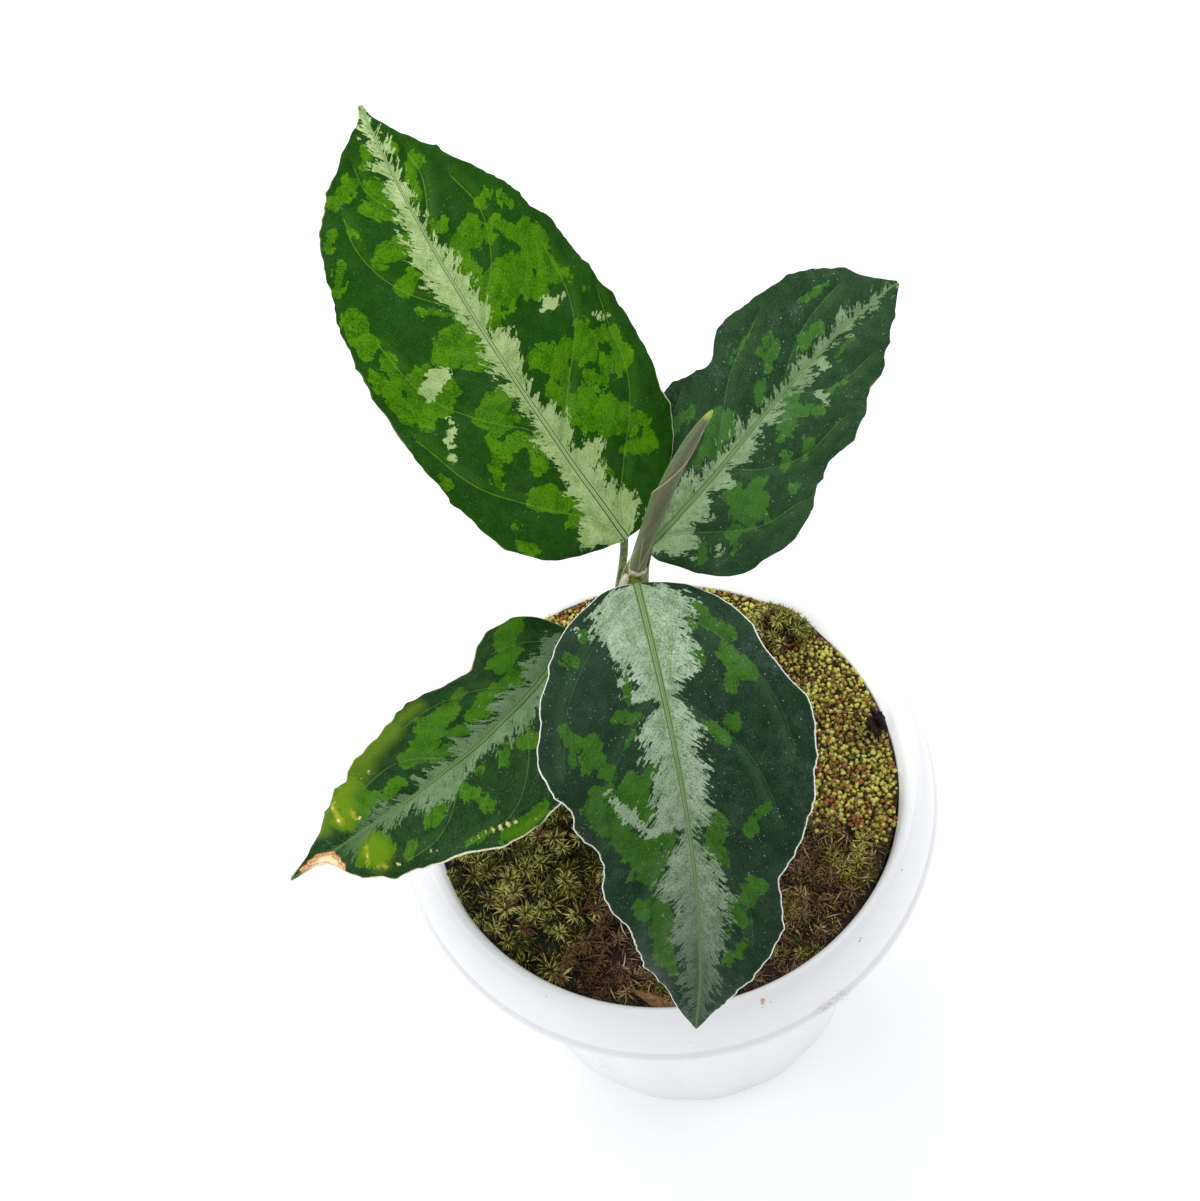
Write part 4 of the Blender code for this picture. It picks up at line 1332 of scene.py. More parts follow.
@dataclass
class Pot:
    """White plastic pot: a tapered fluted body and a collar that rolls over its rim."""

    base_radius: float = 40.0
    floor: float = 3.0
    wall: float = 1.8
    soil_line: float = 98.0
    inner_top: float = WALL_RADIUS
    flutes: int = 16
    flute_depth: float = 0.5
    flute_top: float = 84.0
    steps: int = 288
    drains: int = 6
    drain_radius: float = 3.0
    drain_circle: float = 24.0
    drill_length: float = 12.0

    def inner_radius(self, height: Union[float, np.ndarray]) -> Union[float, np.ndarray]:
        """Radius of the inner wall at a height."""
        foot = self.base_radius - self.wall
        return foot + (self.inner_top - foot) * (height - self.floor) / (self.soil_line - self.floor)

    def profile(self) -> list[tuple[float, float]]:
        """Outline from the floor's middle over the rim to the base's middle, as (radius, height).

        Returns:
            The points in order.
        """
        inner = self.inner_radius
        inside = [(0.0, 3.0), (10.0, 3.0), (20.0, 3.0), (30.0, 3.0), (36.4, 3.0), (37.7, 3.4), (38.4, 4.5)]
        inside += [(inner(z), z) for z in (12.0, 30.0, 50.0, 70.0, 84.0, 92.0, 96.0)]
        rim = [(51.5, 98.0), (51.75, 100.0), (52.05, 102.0), (52.4, 103.7), (52.75, 104.8), (53.2, 105.5)]
        rim += [(53.7, 105.88), (54.0, 105.98), (54.3, 106.0), (54.42, 105.92), (54.55, 105.95)]
        rim += [(55.0, 105.75), (55.6, 105.2), (56.3, 104.2), (57.0, 102.8), (57.7, 101.0), (58.3, 99.0)]
        rim += [(58.8, 96.6), (59.15, 94.4), (59.25, 93.1), (59.12, 92.75), (59.2, 92.4), (59.6, 92.0)]
        rim += [(59.9, 91.55), (60.0, 91.0), (59.92, 90.45), (59.7, 90.0), (59.35, 89.68), (58.7, 89.6)]
        rim += [(58.05, 89.7)]
        under = [(57.8, 90.4), (57.6, 93.0), (57.0, 96.5), (56.3, 99.5), (55.3, 102.2), (54.6, 103.2)]
        under += [(54.0, 102.6), (53.7, 100.6), (53.45, 98.0)]
        levels = (92.0, 86.0, 83.9, 76.0, 68.0, 60.0, 50.0, 40.0, 30.0, 20.0, 10.0, 4.0)
        body = [(inner(z) + self.wall, z) for z in levels]
        foot = [(40.1, 1.9), (39.95, 0.9), (39.55, 0.25), (39.0, 0.0), (37.0, 0.0), (36.4, 0.5), (35.8, 0.5)]
        foot += [(30.0, 0.5), (20.0, 0.5), (10.0, 0.5), (0.0, 0.5)]
        return inside + rim + under + body + foot

    def flute(self, obj: bpy.types.Object) -> None:
        """Presses shallow upright flutes into the outside of the body.

        Args:
            obj: The spun pot.
        """
        points = coordinates(obj)
        height = points[:, 2]
        radius = np.hypot(points[:, 0], points[:, 1])
        outside = (radius > self.inner_radius(height) + 0.5 * self.wall) & (height < self.flute_top)
        fade = np.clip((self.flute_top - height) / 12.0, 0.0, 1.0) * outside
        turn = np.arctan2(points[:, 1], points[:, 0])
        push = self.flute_depth * fade * (np.abs(np.cos(0.5 * self.flutes * turn)) ** 0.8 - 1.0)
        points[:, :2] *= ((radius + push) / np.maximum(radius, 1e-6))[:, None]
        place(obj, points)

    def build(self) -> None:
        """Spins, flutes, drills and dresses the pot."""
        outline = np.array(self.profile())
        obj = fresh(
            bpy.ops.mesh.primitive_circle_add, "pot_dressed", vertices=len(outline), fill_type="NOTHING"
        )
        place(obj, np.stack([outline[:, 0], 0.0 * outline[:, 0], outline[:, 1]], axis=1))
        bpy.ops.object.mode_set(mode="EDIT")
        bpy.ops.mesh.select_all(action="SELECT")
        bpy.ops.mesh.spin(steps=self.steps, angle=TURN, center=CENTRE, axis=(0, 0, 1))
        bpy.ops.object.mode_set(mode="OBJECT")
        self.drop_axis_edges(obj)
        outward(obj)
        self.flute(obj)
        for k in range(self.drains):
            self.drain(obj, TURN * (k + 0.5) / self.drains)
        smooth(obj, 32.0)
        dress(obj, PlasticFinish().material())
        hand_over(obj, "white_plastic", "pot")

    def drain(self, obj: bpy.types.Object, turn: float) -> None:
        """Drills one drain hole.

        Args:
            obj: The pot.
            turn: Direction of the hole from the middle, in radians.
        """
        drill = fresh(
            bpy.ops.mesh.primitive_cylinder_add,
            "drill",
            vertices=32,
            radius=self.drain_radius * MM,
            depth=self.drill_length * MM,
            location=(self.drain_circle * MM * math.cos(turn), self.drain_circle * MM * math.sin(turn), 0.0),
        )
        apply_modifier(obj, "BOOLEAN", operation="DIFFERENCE", solver="EXACT", object=drill)
        bpy.data.objects.remove(drill, do_unlink=True)

    @staticmethod
    def drop_axis_edges(obj: bpy.types.Object) -> None:
        """Deletes the wire that joins the two ends of the spun outline on the axis."""
        pick(obj)
        bpy.ops.object.mode_set(mode="EDIT")
        bpy.ops.mesh.select_mode(type="VERT")
        bpy.ops.mesh.select_all(action="SELECT")
        bpy.ops.mesh.remove_doubles(threshold=0.001 * MM)
        bpy.ops.mesh.select_all(action="DESELECT")
        bpy.ops.object.mode_set(mode="OBJECT")
        points = coordinates(obj)
        on_axis = np.hypot(points[:, 0], points[:, 1]) < 0.001
        for edge in obj.data.edges:
            if on_axis[list(edge.vertices)].all():
                edge.select = True
        bpy.ops.object.mode_set(mode="EDIT")
        bpy.ops.mesh.select_mode(type="EDGE")
        bpy.ops.mesh.delete(type="EDGE")
        bpy.ops.object.mode_set(mode="OBJECT")


def soil_height(x: np.ndarray, y: np.ndarray) -> np.ndarray:
    """Height of the soil's surface: a low dome with a slow roll."""
    dome = SOIL_DOME_HEIGHT * (1.0 - (np.hypot(x, y) / WALL_RADIUS) ** 2)
    return SOIL_EDGE_HEIGHT + dome + 0.5 * np.sin(x / 11.0 + 0.6) * np.cos(y / 13.0)


@dataclass
class Sprig:
    """A small shape modelled once, of which many copies make one piece."""

    points: np.ndarray
    faces: np.ndarray
    tips: np.ndarray

    @classmethod
    def of(cls, obj: bpy.types.Object, tips: np.ndarray) -> "Sprig":
        """Takes the shape of an object, which is then removed."""
        obj.data.calc_loop_triangles()
        faces = np.empty(3 * len(obj.data.loop_triangles), np.int32)
        obj.data.loop_triangles.foreach_get("vertices", faces)
        points = coordinates(obj)
        bpy.data.objects.remove(obj, do_unlink=True)
        return cls(points, faces.reshape(-1, 3), tips)

    def bundle(self, frames: np.ndarray, feet: np.ndarray, lengths: np.ndarray) -> "Sprig":
        """Several turned copies of this shape as one new shape."""
        points = np.einsum("nij,kj->nki", frames * lengths[:, None, None], self.points) + feet[:, None]
        count = len(self.points)
        faces = self.faces[None] + count * np.arange(len(frames))[:, None, None]
        return Sprig(points.reshape(-1, 3), faces.reshape(-1, 3), np.tile(self.tips, len(frames)))

    def scatter(
        self, name: str, frames: np.ndarray, feet: np.ndarray, sizes: np.ndarray, tones: np.ndarray
    ) -> bpy.types.Object:
        """Copies of the shape as one object, with its tone and tip stored.

        Args:
            name: Name of the new object.
            frames: One 3 by 3 matrix for each copy.
            feet: Where each copy's foot goes.
            sizes: Size of each copy.
            tones: Random tone of each copy, from 0 to 1.

        Returns:
            The new object.
        """
        whole = self.bundle(frames, feet, sizes)
        mesh = bpy.data.meshes.new(name)
        mesh.from_pydata((whole.points * MM).tolist(), [], whole.faces.tolist())
        obj = bpy.data.objects.new(name, mesh)
        bpy.context.scene.collection.objects.link(obj)
        mark(obj, "tip", whole.tips)
        mark(obj, "tone", np.repeat(tones, len(self.points)))
        smooth(obj, 55.0)
        return obj


def turned_frames(yaw: np.ndarray, tilt: np.ndarray, lean: np.ndarray) -> np.ndarray:
    """Frames that are yawed about up, then tilted in a direction."""
    zero, one = 0.0 * yaw, 1.0 + 0.0 * yaw
    dip = [np.cos(tilt), zero, np.sin(tilt), zero, one, zero, -np.sin(tilt), zero, np.cos(tilt)]
    aim, spin = (
        np.stack([np.cos(turn), -np.sin(turn), zero, np.sin(turn), np.cos(turn), zero, zero, zero, one], -1)
        for turn in (lean, yaw - lean)
    )
    return aim.reshape(-1, 3, 3) @ np.stack(dip, -1).reshape(-1, 3, 3) @ spin.reshape(-1, 3, 3)


def leaflet(width: float, curl: float) -> Sprig:
    """Narrow pointed moss leaf, one long, that curls over.

    Args:
        width: Its widest width.
        curl: How far its tip bends away from upright.

    Returns:
        The sprig.
    """
    cone = bpy.ops.mesh.primitive_cone_add
    obj = fresh(cone, "leaflet", vertices=3, radius1=1.0, radius2=0.0, depth=2.0, location=CENTRE)
    bpy.ops.object.mode_set(mode="EDIT")
    bpy.ops.mesh.select_all(action="SELECT")
    bpy.ops.mesh.bisect(plane_co=(0, 0, -0.3), plane_no=(0, 0, 1))
    bpy.ops.object.mode_set(mode="OBJECT")
    points = coordinates(obj) * MM
    up_leaf = 0.5 * (points[:, 2] + 1.0)
    girth = np.where(up_leaf < 0.1, 0.35, np.where(up_leaf < 0.6, 1.5, 1.0))
    x = points[:, 0] * width * 0.3 * girth + curl * up_leaf**2
    z = up_leaf * (1.0 - 0.35 * curl * up_leaf)
    place(obj, np.stack([x, points[:, 1] * width * girth, z], axis=1))
    return Sprig.of(obj, up_leaf)


def shoot(leaves: int, tall: float, spread: float, seed: int, blade: Sprig) -> Sprig:
    """Moss shoot: leaflets in a rising spiral that open outwards.

    Args:
        leaves: Number of leaflets.
        tall: Height of the part that carries leaflets.
        spread: How far the lower leaflets open, in radians.
        seed: Seed of the small differences.
        blade: One leaflet.

    Returns:
        The sprig.
    """
    draw = np.random.default_rng(seed)
    share = np.arange(leaves) / (leaves - 1.0)
    yaw = 2.4 * np.arange(leaves) + draw.uniform(-0.3, 0.3, leaves)
    tilt = spread * (1.0 - 0.8 * share**2) + draw.uniform(-0.15, 0.15, leaves)
    sway = 0.12 * tall * np.sin(3.0 * share)
    feet = np.stack([sway, 0.0 * share, tall * share], axis=1)
    lengths = 1.0 - 0.3 * share + draw.uniform(-0.15, 0.15, leaves)
    made = blade.bundle(turned_frames(yaw, tilt, yaw), feet, lengths)
    made.tips = np.clip(0.7 * made.tips + 0.3 * made.points[:, 2] / (tall + 0.5), 0.0, 1.0)
    return made


def rosette() -> Sprig:
    """Small open shoot of the living moss."""
    return shoot(leaves=8, tall=0.7, spread=1.25, seed=34, blade=leaflet(width=0.2, curl=0.5))


def bud() -> Sprig:
    """Round moss bud with a few blunt leaf tips, about one wide.

    Returns:
        The sprig.
    """
    ball = bpy.ops.mesh.primitive_uv_sphere_add
    obj = fresh(ball, "bud", segments=5, ring_count=4, radius=0.5, location=CENTRE)
    points = coordinates(obj) * MM
    turn = np.arctan2(points[:, 1], points[:, 0])
    reach = np.hypot(points[:, 0], points[:, 1]) * (1.0 + 0.22 * np.cos(3.0 * turn + 6.0 * points[:, 2]))
    turn = turn + 1.2 * points[:, 2]
    points[:, :2] = reach[:, None] * np.stack([np.cos(turn), np.sin(turn)], axis=1)
    points[:, 2] = points[:, 2] * 1.25 + 0.2
    place(obj, points)
    # The tip value grows with height, so the finish paints each bud darker below and lighter on top
    return Sprig.of(obj, np.clip(0.35 + points[:, 2] / 1.1, 0.0, 1.0))


def strand(bow: float) -> Sprig:
    """Thin dead stem, one long, that lies nearly flat."""
    at = np.linspace(0.0, 1.0, 5)
    path = np.stack([at, bow * at**2, 0.16 * np.sin(math.pi * at) + 0.06 * at], axis=1)
    obj = tube("strand", path, 0.03 * (1.3 - at), 0)
    return Sprig.of(obj, np.clip(0.25 + 3.0 * coordinates(obj)[:, 2], 0.0, 1.0))


def crumb(seed: int) -> Sprig:
    """Angular crumb, about one wide."""
    obj = fresh(bpy.ops.mesh.primitive_ico_sphere_add, "crumb", subdivisions=1, radius=0.5, location=CENTRE)
    points = coordinates(obj) * MM
    points *= (1.0 + 0.28 * Ripple(seed, 0.6).at(points[:, 0] + points[:, 2], points[:, 1]))[:, None]
    points[:, 2] *= 0.7
    place(obj, points)
    return Sprig.of(obj, np.clip(0.5 + points[:, 2], 0.0, 1.0))


@dataclass
class Cushion:
    """One moss cushion: a sector round the stem, in degrees and millimetres."""

    node: str
    slot: str
    start: float
    end: float
    height: float
    lump: float
    sink: float
    seed: int
    mound: tuple[float, float, float, float] = (0.0, 0.0, 1.0, 0.0)
    inner: float = 9.0
    outer: float = 50.9
    edge: float = 1.6

    def top(self, radius: np.ndarray, turn: np.ndarray) -> np.ndarray:
        """Height of the cushion over the soil.

        Args:
            radius: Distance from the pot's axis.
            turn: Direction in degrees.

        Returns:
            One height for each place.
        """
        share = np.clip((turn - self.start) / (self.end - self.start), 0.0, 1.0)
        ends = np.sin(math.pi * share) ** 0.35
        across = (radius - self.inner) / (self.outer - self.inner)
        x, y = radius * np.cos(np.radians(turn)), radius * np.sin(np.radians(turn))
        first = np.sin(0.71 * x + 0.4) * np.cos(0.63 * y - 0.8)
        lumps = 0.6 * first + 0.4 * np.sin(0.37 * x - 0.52 * y + 1.9)
        swell = np.maximum(0.0, 1.0 - np.abs(2 * across - 1) ** 8) * ends
        mound_x, mound_y, mound_radius, mound_height = self.mound
        off = np.hypot(x - mound_x, y - mound_y) / mound_radius
        return self.edge + swell * (self.height + self.lump * lumps) + mound_height * np.exp(-(off**2))

    def bed(self) -> bpy.types.Object:
        """Matted bed that the shoots stand on.

        Returns:
            The bed as a closed shell.
        """
        span = self.end - self.start
        obj, across, along = grid(f"{self.node}_bed", 42, max(20, int(span * 0.8)))
        radius = self.inner + (self.outer - self.inner) * 0.5 * (across + 1.0)
        turn = self.end + 1.3 - (span + 2.6) * along
        x, y = radius * np.cos(np.radians(turn)), radius * np.sin(np.radians(turn))
        rough = 0.35 * Ripple(self.seed, 3.2).at(x, y) + 0.2 * Ripple(self.seed + 1, 1.5).at(x, y)
        low = np.maximum(self.top(radius, turn) - self.sink + rough, 0.7)
        z = soil_height(x, y) + SEAT_GAP + low
        place(obj, np.stack([x, y, z], axis=1))
        # A low tip gives the bed the dark foot colour, partly painted shade between the shoots
        mark(obj, "tip", np.clip(0.04 + 0.3 * rough, 0.0, 0.2))
        mark(obj, "tone", np.clip(0.3 + 0.2 * Ripple(self.seed + 2, 6.0).at(x, y), 0.0, 0.5))
        thicken(obj, 0.7, -1.0)
        smooth(obj, 80.0)
        return obj

    def spots(self, spacing: float, seed: int, sink: float, keep: Optional[Keep] = None) -> np.ndarray:
        """Scattered places on the cushion and a little past its ends, no two too near.

        Args:
            spacing: Typical distance between neighbours.
            seed: Seed of the scatter.
            sink: How far below the cushion's top the feet stand.
            keep: Tells from x and y which places stay.

        Returns:
            One (x, y, z, radius, direction) row for each place.
        """
        draw = np.random.default_rng(seed)
        cells = np.arange(-self.outer, self.outer, spacing)
        x, y = (part.ravel() for part in np.meshgrid(cells, cells))
        x, y = (part + draw.uniform(-0.42, 0.42, part.size) * spacing for part in (x, y))
        radius = np.hypot(x, y)
        past = np.degrees(3.2 / np.maximum(radius, 4.0)) * draw.uniform(-0.4, 1.0, x.size)
        turn = np.degrees(np.arctan2(y, x))
        turn = np.where(turn < self.start - 12.0, turn + 360.0, turn)
        inside = (turn > self.start - past) & (turn < self.end + past)
        inside &= (radius > self.inner - 1.0) & (radius < self.outer - 0.12 * spacing)
        if keep is not None:
            inside &= keep(x, y)
        x, y, radius, turn = (part[inside] for part in (x, y, radius, turn))
        share = np.clip((turn - self.start) / (self.end - self.start), 0.02, 0.98)
        level = self.top(radius, self.start + (self.end - self.start) * share)
        z = soil_height(x, y) + SEAT_GAP + np.maximum(level - sink, 0.5)
        return np.stack([x, y, z, radius, turn], axis=1)

    def planted(
        self,
        name: str,
        sprig: Sprig,
        spots: np.ndarray,
        sizes: tuple[float, float],
        tilt: float,
        tones: tuple[float, float],
        seed: int,
        leans: tuple[float, float] = (0.0, TURN),
        withered: float = math.inf,
    ) -> bpy.types.Object:
        """Plants one kind of sprig at its spots.

        Args:
            name: Name of the new object.
            sprig: The shape to copy.
            spots: Rows from spots().
            sizes: Smallest and largest size.
            tilt: Largest lean off upright, in radians.
            tones: Lowest and highest tone.
            seed: Seed of the differences.
            leans: Range of the directions in which they lean.
            withered: Direction in degrees past which they turn brown.

        Returns:
            The planted copies as one object.
        """
        draw = np.random.default_rng(seed)
        count = len(spots)
        yaw = draw.uniform(0, TURN, count)
        frames = turned_frames(yaw, tilt * draw.uniform(0, 1, count) ** 0.7, draw.uniform(*leans, count))
        size = draw.uniform(*sizes, count)
        spread = float(np.hypot(sprig.points[:, 0], sprig.points[:, 1]).max())
        near_wall = np.clip((self.outer + 0.7 - spots[:, 3]) / (spread * size), 0.55, 1.0)
        tone = draw.uniform(*tones, count) + np.clip((spots[:, 4] - withered) / 3.0, 0.0, 1.0)
        return sprig.scatter(name, frames, spots[:, :3], size * near_wall, tone)

    def cover(self, *plants: tuple[bpy.types.Object, bpy.types.Material]) -> None:
        """Joins the bed and its plants into the finished cushion."""
        parts = ((self.bed(), plants[0][1]), *plants)
        for obj, material in parts:
            dress(obj, material)
        whole = join(f"{self.node}_dressed", *(obj for obj, _ in parts))
        hand_over(whole, self.slot, self.node)


def carpet() -> None:
    """Builds the granular carpet moss, with its taller tuft at the back wall."""
    finish = MossFinish(
        "moss_yellow_green",
        foot=linear(40, 27, 7),
        body=linear(172, 158, 36),
        light=linear(230, 226, 116),
        dead=linear(166, 110, 60),
        dead_share=0.27,
    )
    tall = MossFinish(
        "moss_tuft",
        foot=linear(48, 42, 10),
        body=linear(150, 150, 44),
        light=linear(226, 226, 136),
        dead=linear(130, 92, 54),
        dead_share=0.16,
    )
    cushion = Cushion(
        node="moss_carpet",
        slot="moss_yellow_green",
        start=-24.0,
        end=172.0,
        height=1.6,
        lump=0.6,
        sink=1.05,
        seed=31,
        mound=(33.0, 34.0, 5.0, 5.0),
    )

    def off_tuft(x: np.ndarray, y: np.ndarray) -> np.ndarray:
        """True away from the tall tuft."""
        return np.hypot(x - 32.0, y - 34.0) > 6.5

    def on_tuft(x: np.ndarray, y: np.ndarray) -> np.ndarray:
        """True on the tall tuft."""
        return np.hypot(x - 32.5, y - 34.5) < 7.0

    moss = finish.material()
    bead_spots = cushion.spots(spacing=0.95, seed=32, sink=0.45, keep=off_tuft)
    beads = cushion.planted(
        "moss_beads", bud(), bead_spots, sizes=(0.7, 1.5), tilt=0.9, tones=(0.0, 1.0), seed=33
    )
    dress(beads, moss)
    hand_over(beads, cushion.slot)
    shoot_spots = cushion.spots(spacing=1.75, seed=35, sink=0.2, keep=off_tuft)
    shoots = cushion.planted(
        "shoots", rosette(), shoot_spots, sizes=(0.8, 1.6), tilt=1.2, tones=(0.0, 1.0), seed=36
    )
    strand_spots = cushion.spots(spacing=2.8, seed=37, sink=-0.4)
    strands = cushion.planted(
        "strands", strand(bow=0.4), strand_spots, sizes=(1.6, 3.4), tilt=0.35, tones=(0.8, 1.0), seed=38
    )
    plume = shoot(leaves=44, tall=1.2, spread=0.95, seed=39, blade=leaflet(width=0.12, curl=0.5))
    tuft_spots = cushion.spots(spacing=2.0, seed=40, sink=1.2, keep=on_tuft)
    tuft = cushion.planted(
        "tuft", plume, tuft_spots, sizes=(2.2, 3.4), tilt=0.8, tones=(0.1, 1.0), seed=41
    )
    cushion.cover((shoots, moss), (strands, moss), (tuft, tall.material()))


def feathery() -> None:
    """Builds the feathery moss, whose shoots look like soft plumes."""
    finish = MossFinish(
        "moss_green",
        foot=linear(16, 13, 3),
        body=linear(108, 106, 14),
        light=linear(232, 230, 132),
        dead=linear(132, 98, 58),
        dead_share=0.12,
    )
    cushion = Cushion(
        node="moss_feathery",
        slot="moss_green",
        start=175.0,
        end=239.0,
        height=2.6,
        lump=1.1,
        sink=2.0,
        seed=51,
    )
    plume = shoot(leaves=50, tall=1.3, spread=0.95, seed=52, blade=leaflet(width=0.12, curl=0.6))
    spots = cushion.spots(spacing=2.7, seed=53, sink=2.9)
    plumes = cushion.planted(
        "plumes",
        plume,
        spots,
        sizes=(2.6, 4.0),
        tilt=1.35,
        tones=(0.0, 0.98),
        seed=54,
        leans=(3.2, 5.4),
        withered=230.0,
    )
    cushion.cover((plumes, finish.material()))


def dry() -> None:
    """Builds the dead moss: brown matted fibres and plumes, with some living bits."""
    finish = MossFinish(
        "moss_brown",
        foot=linear(36, 24, 12),
        body=linear(186, 146, 96),
        light=linear(236, 206, 158),
        dead=linear(128, 90, 58),
        dead_share=0.4,
    )
    alive = MossFinish(
        "moss_mixed",
        foot=linear(38, 33, 8),
        body=linear(128, 126, 28),
        light=linear(214, 212, 108),
        dead=linear(150, 104, 60),
        dead_share=0.2,
    )
    cushion = Cushion(
        node="moss_dry",
        slot="moss_brown",
        start=242.0,
        end=333.0,
        height=1.4,
        lump=1.1,
        sink=1.2,
        seed=61,
    )

    green_spots = (
        (19.0, -41.5, 5.5),
        (22.0, -31.5, 3.0),
        (-8.0, -45.5, 3.5),
        (-13.5, -47.5, 2.5),
        (36.5, -25.0, 5.0),
        (44.5, -17.5, 4.0),
    )

    def living(x: np.ndarray, y: np.ndarray) -> np.ndarray:
        """True where green shoots still stand among the dead ones."""
        return np.any([np.hypot(x - at_x, y - at_y) < reach for at_x, at_y, reach in green_spots], axis=0)

    def right_hand(x: np.ndarray, y: np.ndarray) -> np.ndarray:
        """True in the right-hand part."""
        return x > 22.0

    dead_moss, living_moss = finish.material(), alive.material()
    fibres = shoot(leaves=28, tall=1.0, spread=1.05, seed=62, blade=leaflet(width=0.11, curl=0.8))
    fibre_spots = cushion.spots(spacing=2.3, seed=63, sink=1.3)
    matted = cushion.planted(
        "matted", fibres, fibre_spots, sizes=(1.9, 3.1), tilt=1.45, tones=(0.0, 1.0), seed=64
    )
    strand_spots = cushion.spots(spacing=2.6, seed=65, sink=-0.4)
    strands = cushion.planted(
        "dead", strand(bow=0.25), strand_spots, sizes=(2.5, 6.0), tilt=0.4, tones=(0.0, 1.0), seed=66
    )
    plume = shoot(leaves=40, tall=1.2, spread=1.0, seed=67, blade=leaflet(width=0.12, curl=0.5))
    plume_spots = cushion.spots(spacing=2.4, seed=68, sink=1.5, keep=living)
    plumes = cushion.planted(
        "plumes", plume, plume_spots, sizes=(2.0, 3.0), tilt=1.0, tones=(0.1, 0.9), seed=69
    )
    small_spots = cushion.spots(spacing=1.7, seed=70, sink=0.0, keep=right_hand)
    small = cushion.planted(
        "rosettes", rosette(), small_spots, sizes=(0.9, 1.7), tilt=1.2, tones=(0.0, 1.0), seed=72
    )
    cushion.cover((matted, dead_moss), (strands, dead_moss), (plumes, living_moss), (small, living_moss))


@dataclass
class Litter:
    """Loose things on the soil: crumbs, a dark piece of bark and a dry scrap of leaf."""

    seed: int = 71
    batch: int = 500
    seams: tuple[float, ...] = (173.5, 240.5, 334.5)
    scrap_line: Points = ((-16.0, -44.6, 0.0), (-13.4, -46.3, 0.0), (-10.0, -48.8, 0.0), (-6.0, -50.2, 0.0))

    def crumbs(self) -> None:
        """Crumbs of potting mix in the gaps of the moss."""
        draw = np.random.default_rng(self.seed)
        batch, count = self.batch, 3 * self.batch
        rings = ((5.0, 10.5), (49.8, 50.9), (9.0, 50.0))
        radius = np.concatenate([draw.uniform(low, high, batch) for low, high in rings])
        off_seam = 14.0 / radius[2 * batch :]
        seams = np.radians(draw.choice(self.seams, batch) + draw.uniform(-2.5, 2.5, batch) * off_seam)
        turn = np.concatenate([draw.uniform(0, TURN, 2 * batch), seams])
        x, y = radius * np.cos(turn), radius * np.sin(turn)
        size = draw.uniform(0.5, 1.3, count)
        z = soil_height(x, y) + 0.25 * size + np.where(radius > 49.0, draw.uniform(0.0, 1.2, count), 0.3)
        frames = turned_frames(*(draw.uniform(0, TURN, count) for _ in range(3)))
        tones = draw.uniform(0, 1, count)
        obj = crumb(self.seed + 1).scatter("soil_crumbs", frames, np.stack([x, y, z], 1), size, tones)
        dress(obj, SoilFinish().material())
        hand_over(obj, "soil")

    def bark(self) -> None:
        """Dark crumb of bark against the wall."""
        ball = bpy.ops.mesh.primitive_ico_sphere_add
        obj = fresh(ball, "bark_crumb", subdivisions=5, radius=1.0, location=CENTRE)
        points = coordinates(obj) * MM
        x, y, z = points.T
        lump = 1.0 + 0.36 * Ripple(81, 1.0).at(x + 0.5 * z, y - 0.4 * z)
        lump += 0.2 * Ripple(82, 0.4).at(x - z, y + z)
        points *= lump[:, None] * np.array([1.9, 2.2, 3.3])
        place(obj, points + np.array([48.6, 5.0, 103.0]))
        smooth(obj, 50.0)
        dress(obj, LitterFinish("bark", linear(14, 8, 6), linear(58, 34, 26)).material())
        hand_over(obj, "soil")

    def scrap(self) -> None:
        """Curled tan scrap of a dry leaf by the front wall."""
        obj, across, along = grid("leaf_scrap", 16, 40)
        line = bezier(self.scrap_line, along)
        widening = np.clip((along - 0.15) / 0.4, 0.0, 1.0) ** 1.5
        half = 0.25 + 1.15 * widening * np.clip((1.02 - along) / 0.3, 0.0, 1.0) ** 0.6
        half = half * np.clip(along / 0.08, 0.1, 1.0)
        x = line[:, 0] + across * half * 0.5
        y = line[:, 1] + across * half * 0.86
        fold = (1.0 - np.abs(across) ** 1.4) * half * 0.9
        z = soil_height(x, y) + 3.0 + fold + 0.4 * np.sin(5.0 * along + 0.4)
        z = z + 0.2 * across * np.sin(7.0 * along)
        place(obj, np.stack([x, y, z], axis=1))
        thicken(obj, 0.2, 0.0)
        smooth(obj, 60.0)
        dress(obj, LitterFinish("dry_leaf", linear(108, 76, 48), linear(172, 130, 92)).material())
        hand_over(obj, "soil")

    def build(self) -> None:
        """Builds all the litter and gives the soil itself its finish."""
        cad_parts["soil"].material_slots[0].material = SoilFinish().material()
        self.crumbs()
        self.bark()
        self.scrap()


# Studio


